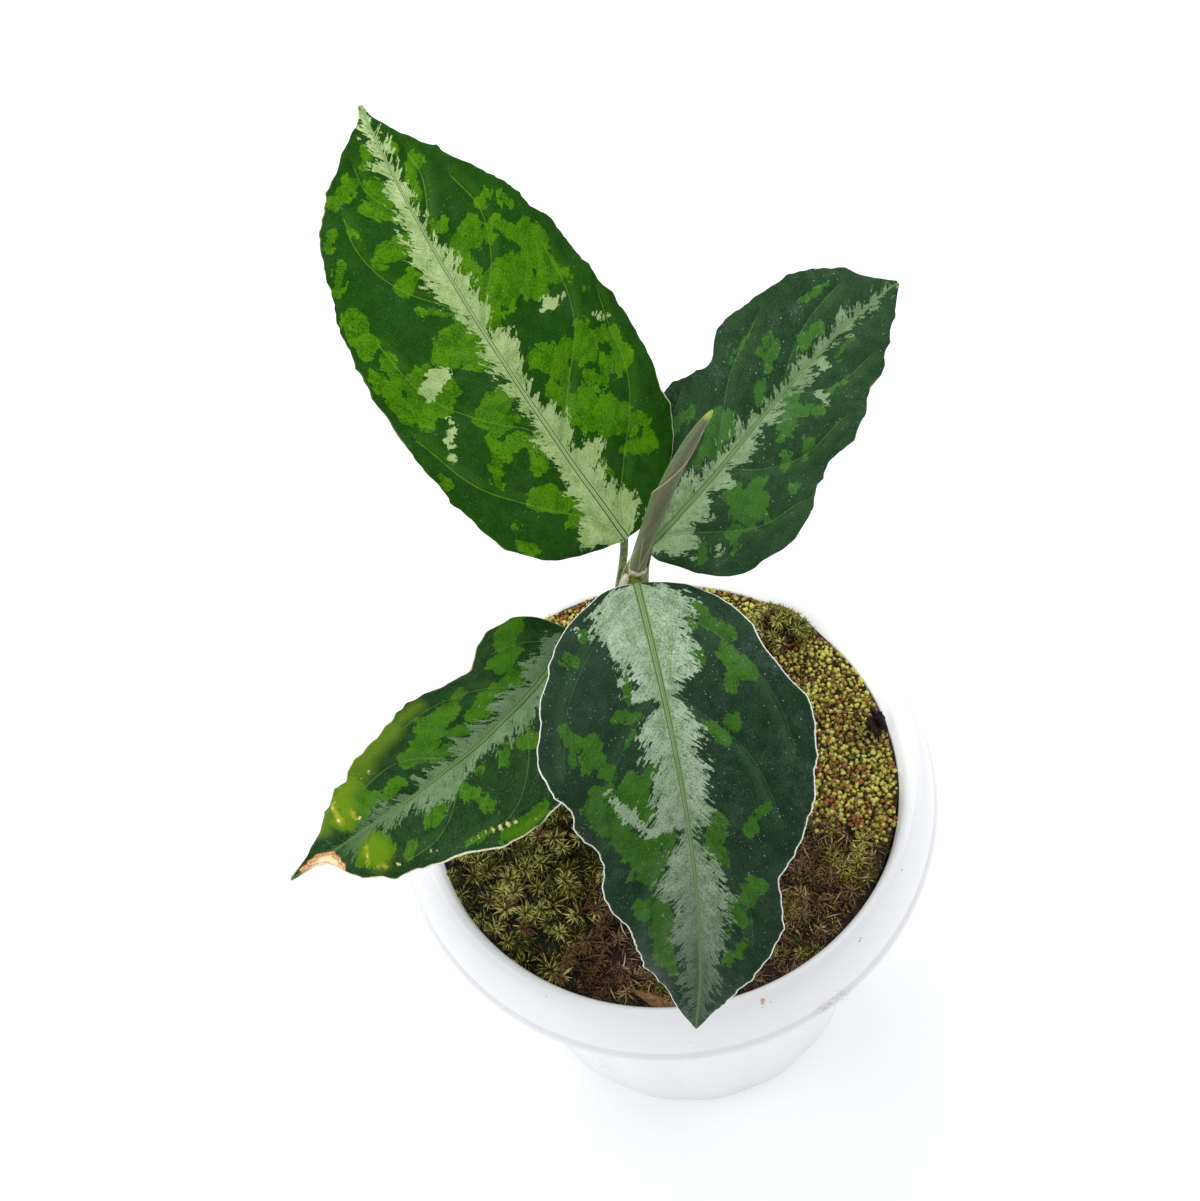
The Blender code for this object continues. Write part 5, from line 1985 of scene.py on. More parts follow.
@dataclass
class Studio:
    """Floor, soft lights and the camera at the photograph's angle."""

    elevation: float = 62.3
    roll: float = -10.3
    distance: float = 680.0
    target: tuple[float, float, float] = (-6.76, 49.76, 98.0)
    focal_pixels: float = 2968.0
    image_width: float = 1200.0
    sensor: float = 36.0
    lamps: tuple[tuple[str, tuple[float, float, float], float, float], ...] = (
        ("key", (-0.25, 0.75, 1.3), 1.2, 8.2),
        ("fill", (1.0, 0.2, 0.9), 0.9, 3.4),
        ("side", (-1.1, -0.1, 0.9), 0.9, 4.0),
    )

    def floor(self) -> None:
        """Plain pale floor under the pot."""
        flat = bpy.ops.mesh.primitive_grid_add
        obj = fresh(flat, "floor", x_subdivisions=8, y_subdivisions=8, size=6.0, location=CENTRE)
        p = Paint("floor")
        haze = p.noise(p.object_place(), 0.004, 2.0)
        pale = p.mix(haze + 0.5, (0.9, 0.9, 0.905), (0.93, 0.93, 0.935))
        dress(obj, p.finish(pale, 0.7, Emission_Color=(1.0, 1.0, 1.0), Emission_Strength=0.16))

    def lights(self) -> None:
        """Even pale surroundings and three large soft lights."""
        scene = bpy.context.scene
        world = bpy.data.worlds.new("studio")
        scene.world = world
        world.use_nodes = True
        sky = world.node_tree.nodes["Background"]
        sky.inputs["Color"].default_value = (0.95, 0.97, 1.0, 1.0)
        sky.inputs["Strength"].default_value = 0.7
        for name, spot, size, power in self.lamps:
            bpy.ops.object.light_add(type="AREA", location=spot)
            lamp = bpy.context.active_object
            lamp.name = name
            lamp.data.shape = "DISK"
            lamp.data.size = size
            lamp.data.energy = power
            aim = (-lamp.location.normalized()).to_track_quat("-Z", "Y")
            lamp.matrix_world = Matrix.Translation(spot) @ aim.to_matrix().to_4x4()
        scene.view_settings.view_transform = "Standard"

    def camera(self) -> None:
        """Camera where the photograph's camera stood."""
        rise, turn = math.radians(self.elevation), math.radians(self.roll)
        back = np.array([0.0, -math.cos(rise), math.sin(rise)])
        level = np.array([1.0, 0.0, 0.0])
        upright = np.cross(back, level)
        right = math.cos(turn) * level + math.sin(turn) * upright
        above = -math.sin(turn) * level + math.cos(turn) * upright
        spot = (np.array(self.target) + self.distance * back) * MM
        bpy.ops.object.camera_add(location=CENTRE)
        camera = bpy.context.active_object
        rotation = Matrix((right, above, back)).transposed().to_4x4()
        camera.matrix_world = Matrix.Translation(spot) @ rotation
        camera.data.sensor_fit = "HORIZONTAL"
        camera.data.sensor_width = self.sensor
        camera.data.lens = self.focal_pixels * self.sensor / self.image_width
        camera.data.clip_start = 0.01
        camera.data.clip_end = 20.0
        bpy.context.scene.camera = camera

    def build(self) -> None:
        """Sets up the studio."""
        self.camera()
        self.floor()
        self.lights()


def leaves() -> tuple[Blade, ...]:
    """The four open leaves, with their outlines and marks, not yet built."""
    back_left = Blade(
        node="leaf_back_left",
        finish=Paintbox.BRIGHT,
        slot="leaf_bright",
        seat_height=131.0,
        seat_angle=138.0,
        climb=16.0,
        petiole_bend=(-0.4, 25.0, 157.0),
        midrib=((1.0, 27.0, 166.0), (-13.0, 45.0, 192.0), (-28.0, 69.0, 215.0), (-36.0, 100.0, 228.0)),
        left=(
            (0.0, 1.2), (0.01, 2.6), (0.035, 9.0), (0.065, 15.0), (0.1, 19.4), (0.14, 23.0), (0.18, 24.3),
            (0.225, 25.6), (0.275, 26.4), (0.325, 27.3), (0.375, 26.6), (0.45, 26.9), (0.55, 25.4),
            (0.65, 22.7), (0.75, 19.0), (0.82, 14.6), (0.88, 9.6), (0.93, 5.0), (0.97, 1.6), (1.0, 0.4),
        ),
        right=(
            (0.0, 5.2), (0.012, 8.0), (0.03, 12.0), (0.05, 16.0), (0.08, 20.7), (0.12, 23.3), (0.16, 23.9),
            (0.225, 25.4), (0.3, 26.6), (0.35, 26.0), (0.4, 25.3), (0.5, 24.5), (0.55, 23.3), (0.6, 21.3),
            (0.65, 19.8), (0.7, 17.8), (0.775, 13.2), (0.825, 10.6), (0.875, 7.5), (0.925, 3.9), (0.97, 1.2),
            (1.0, 0.4),
        ),
        waves=5.0,
        wave_height=0.8,
        band_left=(
            (0, 1), (4, 7), (6, 9.5), (8, 9), (10, 6.5), (12, 5), (15, 5.5), (18, 5), (20, 4.5), (22, 3.4),
            (25, 4), (27, 4), (30, 2), (33, 1.8), (35, 3), (38, 2.4), (40, 2.8), (43, 2.4), (47, 3),
            (50, 2.4), (53, 2.5), (55, 3), (57, 3), (59, 4.2), (61, 5.6), (64, 5.2), (67, 4.6), (70, 5),
            (73, 4.6), (75, 4.6), (78, 4), (80, 3.6), (82, 3), (85, 2.8), (88, 2.6), (91, 2.5), (94, 1.4),
            (97, 1.5), (100, 1.9), (104, 0.9),
        ),
        band_right=(
            (0, 1), (3, 5), (5, 6.5), (8, 6), (10, 5), (12, 3), (15, 4.5), (17, 4), (18.5, 6.3), (20, 6),
            (22, 3), (25, 3.6), (27, 4), (30, 3.4), (33, 2.4), (36, 1.7), (40, 2), (43, 3.4), (46, 4),
            (49, 4.5), (50.5, 2.6), (52, 1.4), (55, 3), (58, 3.2), (61, 2.8), (65, 2.5), (70, 2.5), (72, 1.8),
            (75, 1), (78, 0.8), (82, 1), (85, 0.6), (88, 1), (90, 1.2), (94, 1), (97, 0.8), (100, 0.8),
            (104, 0.7),
        ),
        patches=(
            (94, -3, 91, -4.5, 0.9), (88, -8, 86, -11, 1.4), (86, -11, 84, -14, 1.0),
            (86, -4.5, 82, -5.5, 2.3), (82, -8.5, 83, -6, 1.0), (80.5, -5, 80.5, -4, 1.4),
            (79, -13, 77, -13, 0.6), (79, -16, 76, -19, 0.9), (72.5, -18, 67, -22, 0.9),
            (74, -4, 73, -9, 1.9), (73, -9, 70.8, -12, 1.0), (67.5, -6, 65.3, -9.5, 1.2),
            (60, -9, 59, -6, 0.7), (59, -6, 57.5, -3, 0.8), (62, -21, 58, -23, 2.1),
            (57, -21, 55, -23.5, 1.4), (53.5, -4, 51, -9, 2.9), (50, -10.5, 50, -4, 2.6),
            (48, -6, 46.5, -3, 1.5), (56, -3, 54, -3, 1.2), (53, -20, 48, -21.5, 1.3),
            (50, -24, 44, -23.5, 1.6), (45, -23.5, 41, -23.5, 1.4), (46, -18.5, 42, -20, 2.4),
            (43, -18, 44, -12.5, 1.9), (40.5, -20, 38.5, -21, 1.6), (40.5, -16.5, 40.5, -16, 1.2),
            (49, -17, 49.5, -14, 0.8), (38.5, -5, 36, -9, 2.5), (36.5, -10.5, 36, -11, 1.3),
            (34, -5, 33.5, -7, 1.2), (33.3, -8, 31.8, -11.8, 0.9), (29.5, -5, 29.3, -11, 1.3),
            (29, -11, 27, -14.5, 1.3), (26.5, -14.5, 24, -16, 1.1), (28, -4.5, 24, -6, 1.7),
            (23.5, -8, 24.5, -6, 1.0), (29, -25, 27.5, -25, 1.0), (18, -10.5, 15, -7, 1.9),
            (18, -8, 18, -11.5, 1.6), (13.5, -5.5, 13, -5, 1.0), (10.5, -8.5, 11.5, -6, 1.0),
            (16.5, -18.7, 16, -18.5, 0.9), (13.5, -20, 11.5, -18, 0.9), (94.5, 1.2, 92, 2.5, 0.7),
            (88.5, 5, 85.5, 3, 1.2), (87, 5.5, 86.5, 5.5, 1.0), (83, 2, 82, 2.3, 0.9),
            (75, 2.2, 73.8, 4, 1.0), (69, 5, 66, 4, 2.3), (69.5, 8.5, 67, 8, 2.2),
            (66.5, 10.5, 65, 10.5, 1.1), (64, 3, 61.5, 4, 1.5), (58.5, 5, 57, 9, 2.6), (56, 3.6, 53, 3, 2.1),
            (58, 11, 56, 14, 2.3), (53.5, 7.5, 55, 12, 2.2), (60, 8, 60, 9.5, 1.0), (52, 12, 49, 14, 2.0),
            (72, 12, 70.5, 13, 0.7), (72, 14.5, 71.5, 14.5, 0.7), (69, 17, 66, 17.5, 0.9),
            (66.5, 12.5, 64.5, 14.5, 0.9), (64, 14, 60, 16, 1.2), (60.5, 18, 56, 19.5, 1.5),
            (57, 16, 52, 17.5, 2.2), (54, 18.5, 50, 18.5, 1.4), (50, 15, 47.5, 19, 1.2),
            (48, 14, 47.5, 14, 1.0), (47, 20.5, 45, 21, 0.7), (42, 21.5, 41.5, 21.5, 0.6),
            (41.5, 5, 40.5, 7, 1.5), (38.5, 8, 35.5, 9, 2.4), (34, 4.5, 32, 5, 1.6), (33.5, 9, 31.5, 7, 1.5),
            (37, 12, 33.5, 14, 1.9), (36.5, 16.5, 32, 16, 2.0), (33, 19, 31, 20.5, 1.4),
            (29.5, 12.5, 26.5, 15, 1.0), (28, 16.5, 25.5, 20, 1.7), (29, 21, 26, 22, 1.2),
            (31, 20, 30, 22, 1.0), (27.8, 5.5, 27, 9.5, 2.3), (24, 8, 20, 11.5, 2.5), (25, 10, 24, 11, 1.5),
            (22, 13, 18, 14, 2.1), (19.5, 9, 20, 10, 1.2), (17.5, 12.5, 16.5, 14, 1.3),
            (17.5, 16, 15.5, 17.5, 1.0), (14, 10, 14, 10.5, 0.8), (13.5, 12, 11.5, 14, 1.4),
            (12.5, 16, 10.5, 15.5, 0.9), (16, 4.5, 13, 5, 0.9),
        ),
        pales=(
            (47.5, -13, 44.5, -17, 1.5), (47.3, -11.5, 47, -11.2, 0.8), (45.8, -16.5, 43.6, -17.3, 1.0),
            (37.5, -16.4, 36, -18, 0.85), (36, -18.3, 33.3, -19.4, 0.65), (31.5, -20.2, 30.7, -21.4, 0.6),
            (46.8, 13.2, 44.8, 15.2, 1.1), (44.6, 15.2, 44, 17, 0.75), (36.5, 20.5, 34.8, 21.3, 0.65),
            (33, 22.8, 32.2, 23, 0.4),
        ),
        veins=(
            ((4, -1), (10, -5), (14, -9), (19, -14), (24, -19), (29, -22), (36, -24.2)),
            ((27, -1), (31, -4), (34, -8.5), (38, -13), (42, -16.5), (48, -19), (56, -20)),
            ((56, -1), (60, -4), (64, -9), (69, -12.5), (75, -14), (81, -13)),
            ((78, -1), (82, -4), (86, -6.5), (91, -6.5)),
            ((3, 1), (8, 4), (13, 9), (18, 15), (24, 20), (30, 22), (38, 23.6)),
            ((25, 1), (28, 4), (31.5, 8.5), (35, 13), (39, 16.5), (46, 19), (55, 19.5)),
            ((54, 1), (57, 4), (60.5, 8), (66, 11), (72, 12), (80, 10)),
            ((76, 1), (80, 3.5), (85, 5), (90, 4.5)),
        ),
        dim=((0, 0.1), (30, 0.18), (60, 0.1), (104, 0.0)),
        lit=((0, 0.0), (4, 0.0), (7, 1.0), (15, 1.0), (20, 0.0), (110, 0.0)),
        seed=101,
    )
    back_right = Blade(
        node="leaf_back_right",
        finish=Paintbox.DULL,
        slot="leaf_dull",
        seat_height=124.0,
        seat_angle=62.0,
        climb=18.0,
        petiole_bend=(3.0, 29.5, 152.0),
        midrib=((5.0, 28.0, 159.0), (24.0, 33.0, 176.0), (41.0, 49.0, 189.0), (64.0, 59.0, 193.0)),
        left=(
            (0.0, 1.2), (0.03, 7.0), (0.07, 12.0), (0.12, 16.0), (0.18, 18.8), (0.24, 20.2), (0.3, 19.8),
            (0.35, 18.5), (0.39, 16.7), (0.42, 15.9), (0.45, 16.3), (0.475, 18.0), (0.525, 19.5),
            (0.575, 19.4), (0.625, 18.4), (0.7, 16.4), (0.75, 15.3), (0.8, 14.0), (0.875, 10.4), (0.925, 5.6),
            (0.97, 2.1), (1.0, 0.4),
        ),
        right=(
            (0.0, 1.2), (0.01, 3.5), (0.035, 7.0), (0.065, 11.0), (0.1, 15.9), (0.14, 19.9), (0.18, 21.8),
            (0.225, 23.8), (0.26, 24.2), (0.3, 23.5), (0.35, 21.7), (0.4, 19.1), (0.44, 18.0), (0.475, 18.4),
            (0.525, 19.3), (0.575, 18.4), (0.6, 17.7), (0.65, 15.0), (0.69, 14.0), (0.75, 12.9), (0.8, 11.0),
            (0.875, 7.7), (0.925, 4.8), (0.97, 2.1), (1.0, 0.4),
        ),
        waves=3.5,
        wave_height=1.2,
        band_left=(
            (0, 1), (3, 7), (6, 8), (8, 5), (10, 4), (13, 4.5), (16, 4), (18, 3), (20, 2), (22, 2.5),
            (24, 1.8), (26, 2.8), (28, 2.2), (30, 2.8), (32, 3.2), (34, 2.6), (35.5, 1.5), (37, 0.5),
            (39, 1.1), (41, 1.5), (43, 0.6), (46, 0.6), (48, 1.6), (50, 2.4), (53, 1.6), (56, 2), (58, 1.2),
            (60, 1.3), (62, 2), (64, 1.2), (66, 1), (68, 0.5), (72, 0.4), (76, 0.2),
        ),
        band_right=(
            (0, 1), (3, 5), (5, 8), (8, 9.5), (10, 7), (11.5, 4), (13, 6.2), (15, 6.3), (16.5, 4.6),
            (17.5, 2.6), (20, 4.4), (22.5, 5), (24, 2.2), (27, 3.6), (30, 3.9), (32, 3), (34, 1.9), (37, 2.8),
            (39, 3.6), (41, 2), (42.5, 0.6), (45, 1.5), (48, 3), (50, 2.5), (52, 2.8), (54, 1.4), (57, 1),
            (59, 1.5), (61, 2), (64, 1.3), (67, 1), (70, 0.8), (73, 0.6), (76, 0.2),
        ),
        patches=(
            (31, -5, 29, -3.5, 1.3), (29, -6.5, 24, -4, 1.9), (22, -5, 20, -4, 1.0),
            (40.5, -4, 38.5, -2.5, 0.9), (47, -7, 44, -6, 1.2), (46.5, -9.5, 46, -9, 1.2),
            (57, -3.5, 52, -4, 1.2), (45.5, -14.5, 38, -12, 0.5), (44, -9, 44, -8, 0.8),
            (12, -14, 9.5, -13, 1.6), (63, -9, 56, -10, 0.5), (24, -12, 18, -14, 1.2), (44, 2, 42, 4, 1.4),
            (41, 5, 38, 6, 1.9), (42.5, 7.5, 42, 7.5, 1.2), (35.5, 7.3, 35, 7.3, 1.0), (43.5, 9, 42, 10, 0.9),
            (38, 11.5, 33, 13.5, 0.6), (24.5, 10, 20, 11, 1.6), (21, 6.2, 19.5, 9, 1.5),
            (22, 12.5, 18.5, 14, 1.7), (18.3, 10, 18, 11, 1.2), (19.8, 16, 19.5, 16.5, 0.8),
            (28, 16, 26, 17, 0.6), (9.5, 9, 8.5, 12, 1.0), (15, 12, 13, 16, 0.9), (60, 3.5, 55, 4, 0.5),
            (52, 8.5, 47, 8.5, 0.4), (32, 10, 29, 12, 0.6),
        ),
        pales=(
            (46.6, 6.3, 46, 8, 0.75), (46, 8, 45.3, 10, 0.6), (11.2, 13, 10.5, 14, 0.6),
            (53.2, 2, 51.6, 3.7, 0.95),
        ),
        veins=(
            ((3, -1), (8, -6), (12, -10), (17, -14), (23, -17)),
            ((22, -1), (26, -3.5), (30, -6.5), (34, -9.5), (39, -12.3), (46, -14.6)),
            ((44, -1), (48, -3), (52, -5), (57, -6.5), (64, -7.6)),
            ((4, 0.8), (7.5, 3.5), (11, 7), (14, 11), (17, 15), (20, 18), (25, 20)),
            ((24, 1.2), (26, 6), (28, 9), (31, 12), (36, 14), (43, 14.6)),
            ((44, 1), (46, 5), (48, 7.5), (51, 8.6), (58, 9)),
        ),
        dim=((0, 0.0), (30, 0.1), (50, 0.3), (76, 0.4)),
        seed=111,
    )
    front = Blade(
        node="leaf_front",
        finish=Paintbox.BLUISH,
        slot="leaf_bluish",
        seat_height=138.0,
        seat_angle=268.0,
        climb=16.0,
        petiole_bend=(1.2, 12.5, 173.0),
        midrib=((1.0, 10.0, 178.0), (3.0, -30.0, 185.0), (4.0, -52.0, 153.0), (-3.0, -63.0, 120.0)),
        left=(
            (0.0, 1.2), (0.01, 6.5), (0.035, 11.6), (0.065, 15.1), (0.1, 18.6), (0.14, 20.6), (0.18, 22.6),
            (0.2, 24.2), (0.235, 27.2), (0.275, 27.5), (0.325, 26.8), (0.4, 24.8), (0.45, 23.1), (0.5, 20.4),
            (0.55, 17.4), (0.6, 16.4), (0.65, 16.8), (0.7, 16.2), (0.75, 13.8), (0.8, 10.4), (0.85, 7.3),
            (0.9, 4.9), (0.95, 2.6), (1.0, 0.4),
        ),
        right=(
            (0.0, 1.2), (0.01, 5.5), (0.035, 10.6), (0.065, 16.8), (0.1, 20.0), (0.12, 21.1), (0.155, 24.3),
            (0.2, 25.3), (0.25, 26.6), (0.3, 24.9), (0.35, 22.4), (0.4, 21.7), (0.45, 18.8), (0.49, 17.7),
            (0.55, 18.4), (0.6, 16.9), (0.65, 14.7), (0.7, 12.8), (0.76, 11.9), (0.8, 11.1), (0.85, 8.9),
            (0.9, 5.7), (0.95, 2.9), (1.0, 0.4),
        ),
        waves=3.0,
        wave_height=1.5,
        band_left=(
            (0, 1), (2, 5), (4, 8), (7, 9.8), (9, 9), (11, 7.5), (13, 7.4), (16, 8.2), (18, 8), (19.5, 8),
            (21, 4), (23, 3), (26, 4.2), (28, 4.6), (30, 5.4), (34, 5.2), (38, 5.2), (42, 4.8), (46, 4.8),
            (49, 4.6), (51, 2.4), (53, 1.2), (56, 3), (58, 4), (60, 5), (63, 5.6), (65, 6.4), (68, 5.6),
            (71, 5.4), (75, 5), (78, 5), (81, 4.2), (84, 3.6), (88, 3.5), (91, 3), (94, 2.6), (98, 1.6),
            (103, 0.6),
        ),
        band_right=(
            (0, 1), (2, 6), (4, 9), (6, 10.5), (8, 11), (10, 10), (12, 8.5), (15, 7), (17, 6), (19, 5.6),
            (21, 6.4), (22.6, 6), (24, 1.8), (26, 3), (28, 6), (29.5, 7.6), (31, 5), (33, 6), (35, 4.6),
            (37, 4.2), (40, 5.4), (43, 5.6), (46, 6), (48.5, 6.6), (50, 5), (51.4, 1.2), (53, 2.4), (55, 4),
            (57, 5.4), (59, 6.4), (61, 7), (63, 7), (65, 5.8), (67, 4.8), (70, 4.8), (73, 5), (76, 5),
            (80, 4.2), (84, 4), (87, 4.4), (90, 3.6), (93, 3), (97, 2), (103, 0.6),
        ),
        patches=(
            (81, -6, 78, -6, 0.8), (77.5, -8, 75.8, -8.4, 1.0), (74, -6, 73.6, -6, 0.8),
            (70, -8.5, 67, -7, 1.5), (66, -10, 61.5, -12, 1.6), (63, -9.5, 62.5, -9.5, 1.0),
            (58, -6, 55.5, -5, 1.4), (54, -4.5, 49, -6, 1.6), (48.3, -6, 47.8, -5, 1.0),
            (57, -3, 56, -3, 0.8), (50, -11.5, 47.5, -12.5, 0.9), (47.5, -12.5, 44, -16, 0.8),
            (31.5, -9.5, 31.5, -9.2, 1.6), (30, -8, 29.5, -7.5, 1.1), (29, -12, 27.5, -12, 1.1),
            (21.5, -14, 22, -13, 1.3), (20, -17, 16.5, -13.5, 1.7), (17, -8.4, 14, -7, 1.2),
            (14, -15, 8, -10, 1.2), (11, -8, 8.5, -9, 0.9), (85, 5.6, 80, 6.2, 1.0), (80, 7, 70, 7.5, 2.0),
            (71, 6, 64, 8.5, 1.8), (67, 10, 63, 12, 1.0), (60, 7.6, 57, 6.5, 1.4), (57.5, 9, 52, 11, 2.1),
            (57, 4, 51.8, 4.5, 1.6), (52.5, 7, 51, 5, 1.2), (54.5, 8, 50.5, 8.5, 1.9),
            (50.5, 12, 44, 14, 2.1), (49, 10.5, 47.8, 11, 1.3), (43, 15.5, 37, 18, 2.1),
            (41, 12, 37, 10, 2.3), (38, 7, 36.6, 5, 1.5), (45, 8, 40, 8.4, 1.8), (36.5, 14, 35, 17, 1.2),
            (57, 12.6, 56.4, 12.6, 0.6), (31.5, 14, 29, 16, 1.3), (29.5, 17, 26.5, 15.5, 1.6),
            (26, 18.5, 22.5, 20.5, 1.3), (28, 20, 26.5, 20, 1.0), (25.4, 6, 24, 10, 0.9),
            (22, 6.8, 21.5, 7, 0.9), (19.5, 7, 19, 7, 0.8), (12, 15.5, 11, 17, 1.0), (8.5, 13, 8, 13, 0.8),
            (30, 9.5, 28, 7.5, 0.6), (34, 12.6, 31.5, 13.6, 0.9),
        ),
        pales=(
            (49, 5, 48.8, 8, 0.9), (48.8, 8, 44, 10.6, 0.85), (44, 10.6, 41.6, 11.8, 1.3),
            (41.6, 11.8, 36, 14.3, 0.6), (21.2, 7.8, 18, 7.6, 0.3), (7.6, 13.8, 7.2, 14, 0.5),
        ),
        veins=(
            ((2, -1), (6, -4.5), (10, -9), (14, -13.5), (19, -18), (25, -21.5), (32, -23)),
            ((21, -1), (26, -5), (30, -10), (33.5, -13.4), (38, -15.6), (45, -17.6)),
            ((50, -1), (55, -4), (61, -8), (67, -10), (74, -10.6)),
            ((3, 1), (6, 5), (9.5, 10), (14, 15), (20, 19.5), (28, 22)),
            ((22, 1), (26, 5), (29.5, 9.5), (33.5, 13), (39, 15.6), (46, 16)),
            ((50, 1), (55, 4.6), (60.5, 8), (66, 9.8), (74, 10)),
        ),
        dim=((0, 0.0), (20, 0.0), (40, 0.12), (55, 0.25), (68, 0.42), (78, 0.6), (90, 0.75), (104, 0.9)),
        seed=121,
    )
    left = Blade(
        node="leaf_left",
        finish=Paintbox.YELLOWING,
        slot="leaf_yellowing",
        seat_height=113.0,
        seat_angle=185.0,
        climb=14.0,
        petiole_bend=(-11.5, 20.0, 142.0),
        midrib=((-13.0, 18.0, 146.0), (-32.0, -7.0, 150.0), (-56.0, -13.0, 143.0), (-81.0, -17.0, 126.0)),
        left=(
            (0.0, 1.2), (0.03, 7.5), (0.07, 13.0), (0.12, 17.5), (0.18, 20.8), (0.25, 22.3), (0.34, 22.6),
            (0.4, 22.1), (0.45, 20.1), (0.5, 18.3), (0.55, 16.9), (0.6, 15.4), (0.65, 14.0), (0.7, 12.9),
            (0.75, 10.7), (0.8, 7.7), (0.83, 5.6), (0.86, 3.4), (0.89, 1.6), (0.92, 0.9), (1.0, 0.4),
        ),
        right=(
            (0.0, 1.2), (0.01, 6.0), (0.035, 11.5), (0.065, 14.1), (0.1, 15.3), (0.14, 15.3), (0.18, 13.9),
            (0.2, 13.2), (0.225, 13.6), (0.275, 14.4), (0.35, 15.7), (0.425, 16.6), (0.5, 16.4), (0.55, 15.4),
            (0.6, 14.3), (0.65, 13.1), (0.7, 11.9), (0.75, 11.0), (0.8, 9.4), (0.85, 6.6), (0.9, 3.8),
            (0.95, 1.7), (1.0, 0.4),
        ),
        waves=3.0,
        wave_height=1.2,
        band_left=(
            (0, 1), (5, 3.5), (10, 4.5), (15, 4.2), (18, 4.6), (21, 5.6), (25, 5), (28, 4.5), (30, 3.5),
            (33, 4), (35, 4.6), (37, 3.6), (39, 5), (41, 6.4), (43, 5.6), (46, 5.5), (48, 4.6), (50, 3),
            (52, 2.4), (54, 3), (55.5, 3.8), (57, 3), (59, 2.2), (61, 1.8), (63, 2.4), (65, 3.8), (66.5, 3.8),
            (68, 2.5), (70, 1), (83, 0.2),
        ),
        band_right=(
            (0, 1), (3, 4.2), (6, 4.4), (10, 4.4), (12, 4.8), (13.5, 3.4), (15, 1.5), (16, 2.5), (18, 3.5),
            (20, 4.4), (22, 4), (24, 3.2), (25.5, 2), (27, 2.8), (29.5, 4), (31, 3), (32.5, 2.4), (34, 3.4),
            (36, 3.4), (37.5, 1.4), (40, 1.9), (43, 2.2), (46, 2.4), (48, 1.8), (50, 0.9), (52, 1.2), (55, 2),
            (58, 2.3), (60, 1.2), (63, 0.8), (66, 1), (70, 0.5), (83, 0.2),
        ),
        patches=(
            (63, -6, 58, -7, 2.0), (60, -3.5, 59, -4, 1.0), (53, -10.5, 52, -9.5, 1.0),
            (47, -8, 43.5, -7, 1.3), (46.5, -6.5, 45, -6.5, 1.0), (38, -6, 36.5, -9, 1.4),
            (36, -10, 34, -13.5, 1.1), (34, -5, 33.6, -5, 0.9), (33, -15, 33, -15.5, 0.6),
            (28, -7.5, 27, -6, 1.3), (22.5, -7, 21.5, -8, 1.6), (17, -20, 16, -14, 1.3), (5, -3, 3, -3, 1.4),
            (33, -20, 26, -20.5, 1.5), (40, -17, 36, -17.5, 0.7), (65, 4, 58, 5, 2.4), (63, 8, 58, 8.5, 2.2),
            (54, 3, 50, 4, 1.3), (44.5, 7, 42, 6.5, 1.9), (40, 4, 36, 3, 1.6), (39, 7, 33, 9, 2.6),
            (36, 10, 34, 11, 1.5), (33, 5, 31, 4, 1.5), (30, 9, 27.5, 10, 1.8), (27, 4.5, 23, 5, 1.6),
            (21, 6, 14, 5, 1.4), (16, 4, 12.5, 3.5, 0.9), (13, 8, 10, 9, 2.2), (15, 7.5, 14, 11, 1.0),
            (8, 12, 5, 11, 1.9), (25, 10, 23, 10.5, 1.0),
        ),
        pales=(),
        veins=(
            ((2, -1), (6, -5), (10, -10), (15, -15), (22, -18.5)),
            ((19, -1), (21, -5), (24, -11), (28, -15.5), (33, -17.6), (41, -17)),
            ((37, -1), (40, -6), (43, -10), (47.5, -12), (54, -11.4)),
            ((2, 1), (5, 5), (8, 9), (12, 12)),
            ((14, 1), (17, 4), (20, 8), (24, 10.6), (30, 12.4), (38, 13.2)),
            ((38, 1), (41.5, 5), (45.5, 7.6), (50, 8.2), (56, 7.4)),
        ),
        dim=((0, 0.1), (50, 0.1), (60, 0.35), (72, 0.8), (84, 0.9)),
        yellow=(
            (70, 6.5, 62, 9.8, 2.8), (62, 9.8, 52, 12.8, 2.8), (52, 12.8, 40, 15, 2.0),
            (40, 15, 31, 14.5, 0.8), (65, 4, 62, 8, 2.2), (62, -4, 59, -8, 2.2), (33, -20.5, 26, -21.5, -0.3),
        ),
        gold=(
            (66, 4, 65, 8.5, 0.6), (62.8, 3, 62.4, 4.6, 0.4), (62.4, -4.4, 62.2, -7.6, 0.3),
            (60, -9.6, 58.6, -10.2, 0.3),
        ),
        cream=(
            (66.2, 4.4, 66.0, 4.8, 0.4), (65.2, 5.8, 65.1, 6.0, 0.2), (65.4, 7.8, 65.2, 8.2, 0.3),
            (62.6, 2.4, 61.8, 2.6, 0.3), (64.0, 8.6, 63.8, 8.9, 0.3), (65.6, 9.6, 65.2, 9.8, 0.2),
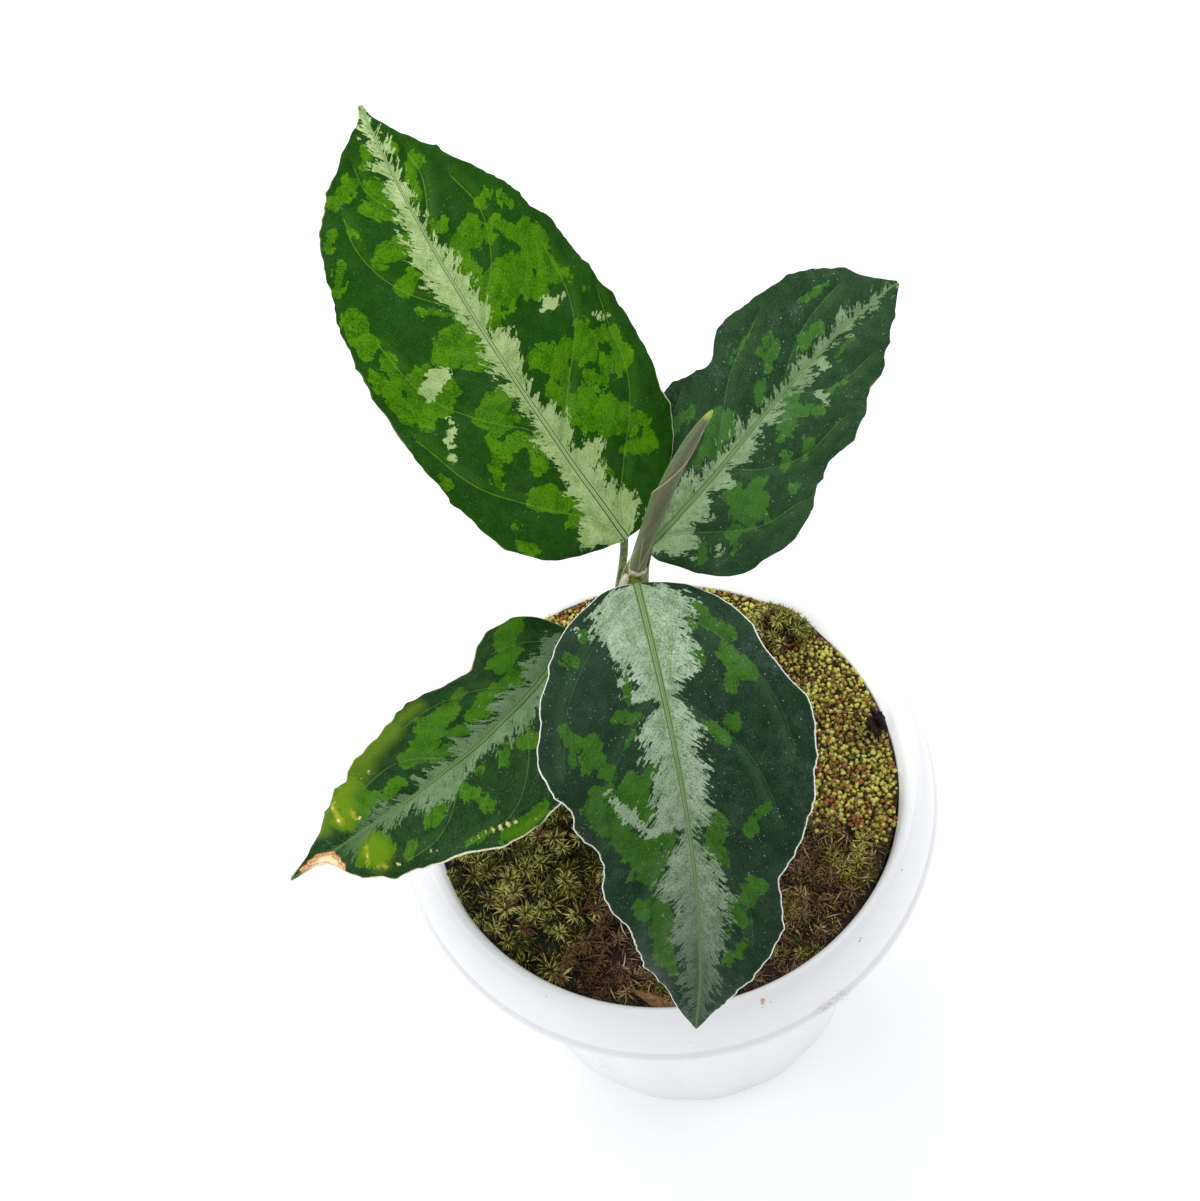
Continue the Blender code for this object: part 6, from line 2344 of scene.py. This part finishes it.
            (63.2, 5.6, 63.1, 5.9, 0.2), (52.8, 9.3, 52.5, 9.7, 0.34), (55.2, 9.2, 54.9, 9.3, 0.18),
            (47.9, 10.6, 47.8, 10.8, 0.18), (58.6, 10.4, 58.4, 10.6, 0.16), (62.3, -6.1, 62.2, -6.4, 0.3),
            (62.7, -8.1, 62.5, -8.4, 0.24), (61.4, -9.2, 61.2, -9.5, 0.18), (56.3, -10.8, 55.9, -11.2, 0.34),
            (48.3, -12.8, 48, -13.3, 0.3), (47, -13.9, 46.7, -14.2, 0.24), (44, -15.5, 43.8, -15.6, 0.18),
            (41.5, -17.5, 41.3, -17.6, 0.2), (41.3, -16.2, 41.1, -16.4, 0.22),
            (39.5, -16.9, 39.3, -17.3, 0.2), (38.1, -16.8, 37.9, -17.3, 0.22),
            (36.6, -16.8, 36.3, -17.5, 0.24), (35.2, -17.2, 34.9, -18.2, 0.3),
            (33.9, -17.6, 33.5, -18.8, 0.36), (32.5, -17.9, 32.1, -19.0, 0.36),
            (31.2, -18.4, 30.9, -19.2, 0.26), (30, -19.2, 29.8, -19.6, 0.2), (28.6, -21.3, 28.3, -21.3, 0.14),
            (27.5, -21.3, 27.2, -21.4, 0.14), (26.3, -21.4, 26, -21.4, 0.14), (25, -21.5, 24.7, -21.5, 0.14),
            (23.7, -21.5, 23.4, -21.5, 0.14),
        ),
        lit=((0, 0.0), (55, 0.0), (68, 0.8), (84, 1.0)),
        burn=(
            (80, 0.3, 77.2, 0.2, 0.5), (77.4, 0.2, 75, -0.1, 0.95), (75.4, -0.1, 72.6, -1.2, 1.4),
            (72.6, -1.4, 70.4, -3.5, 1.25), (70.4, -3.6, 68.6, -5.5, 0.9), (17, 13.2, 16, 13.7, 0.3),
        ),
        seed=131,
    )
    return back_left, back_right, front, left


def main() -> None:
    """Builds the studio and every piece."""
    logging.basicConfig(level=logging.INFO, format="%(name)s %(message)s")
    Studio().build()
    cane = Cane()
    cane.build()
    for blade in leaves():
        blade.build(cane)
    RolledLeaf().build(cane)
    Pot().build()
    carpet()
    feathery()
    dry()
    Litter().build()


if __name__ == "__main__":
    main()
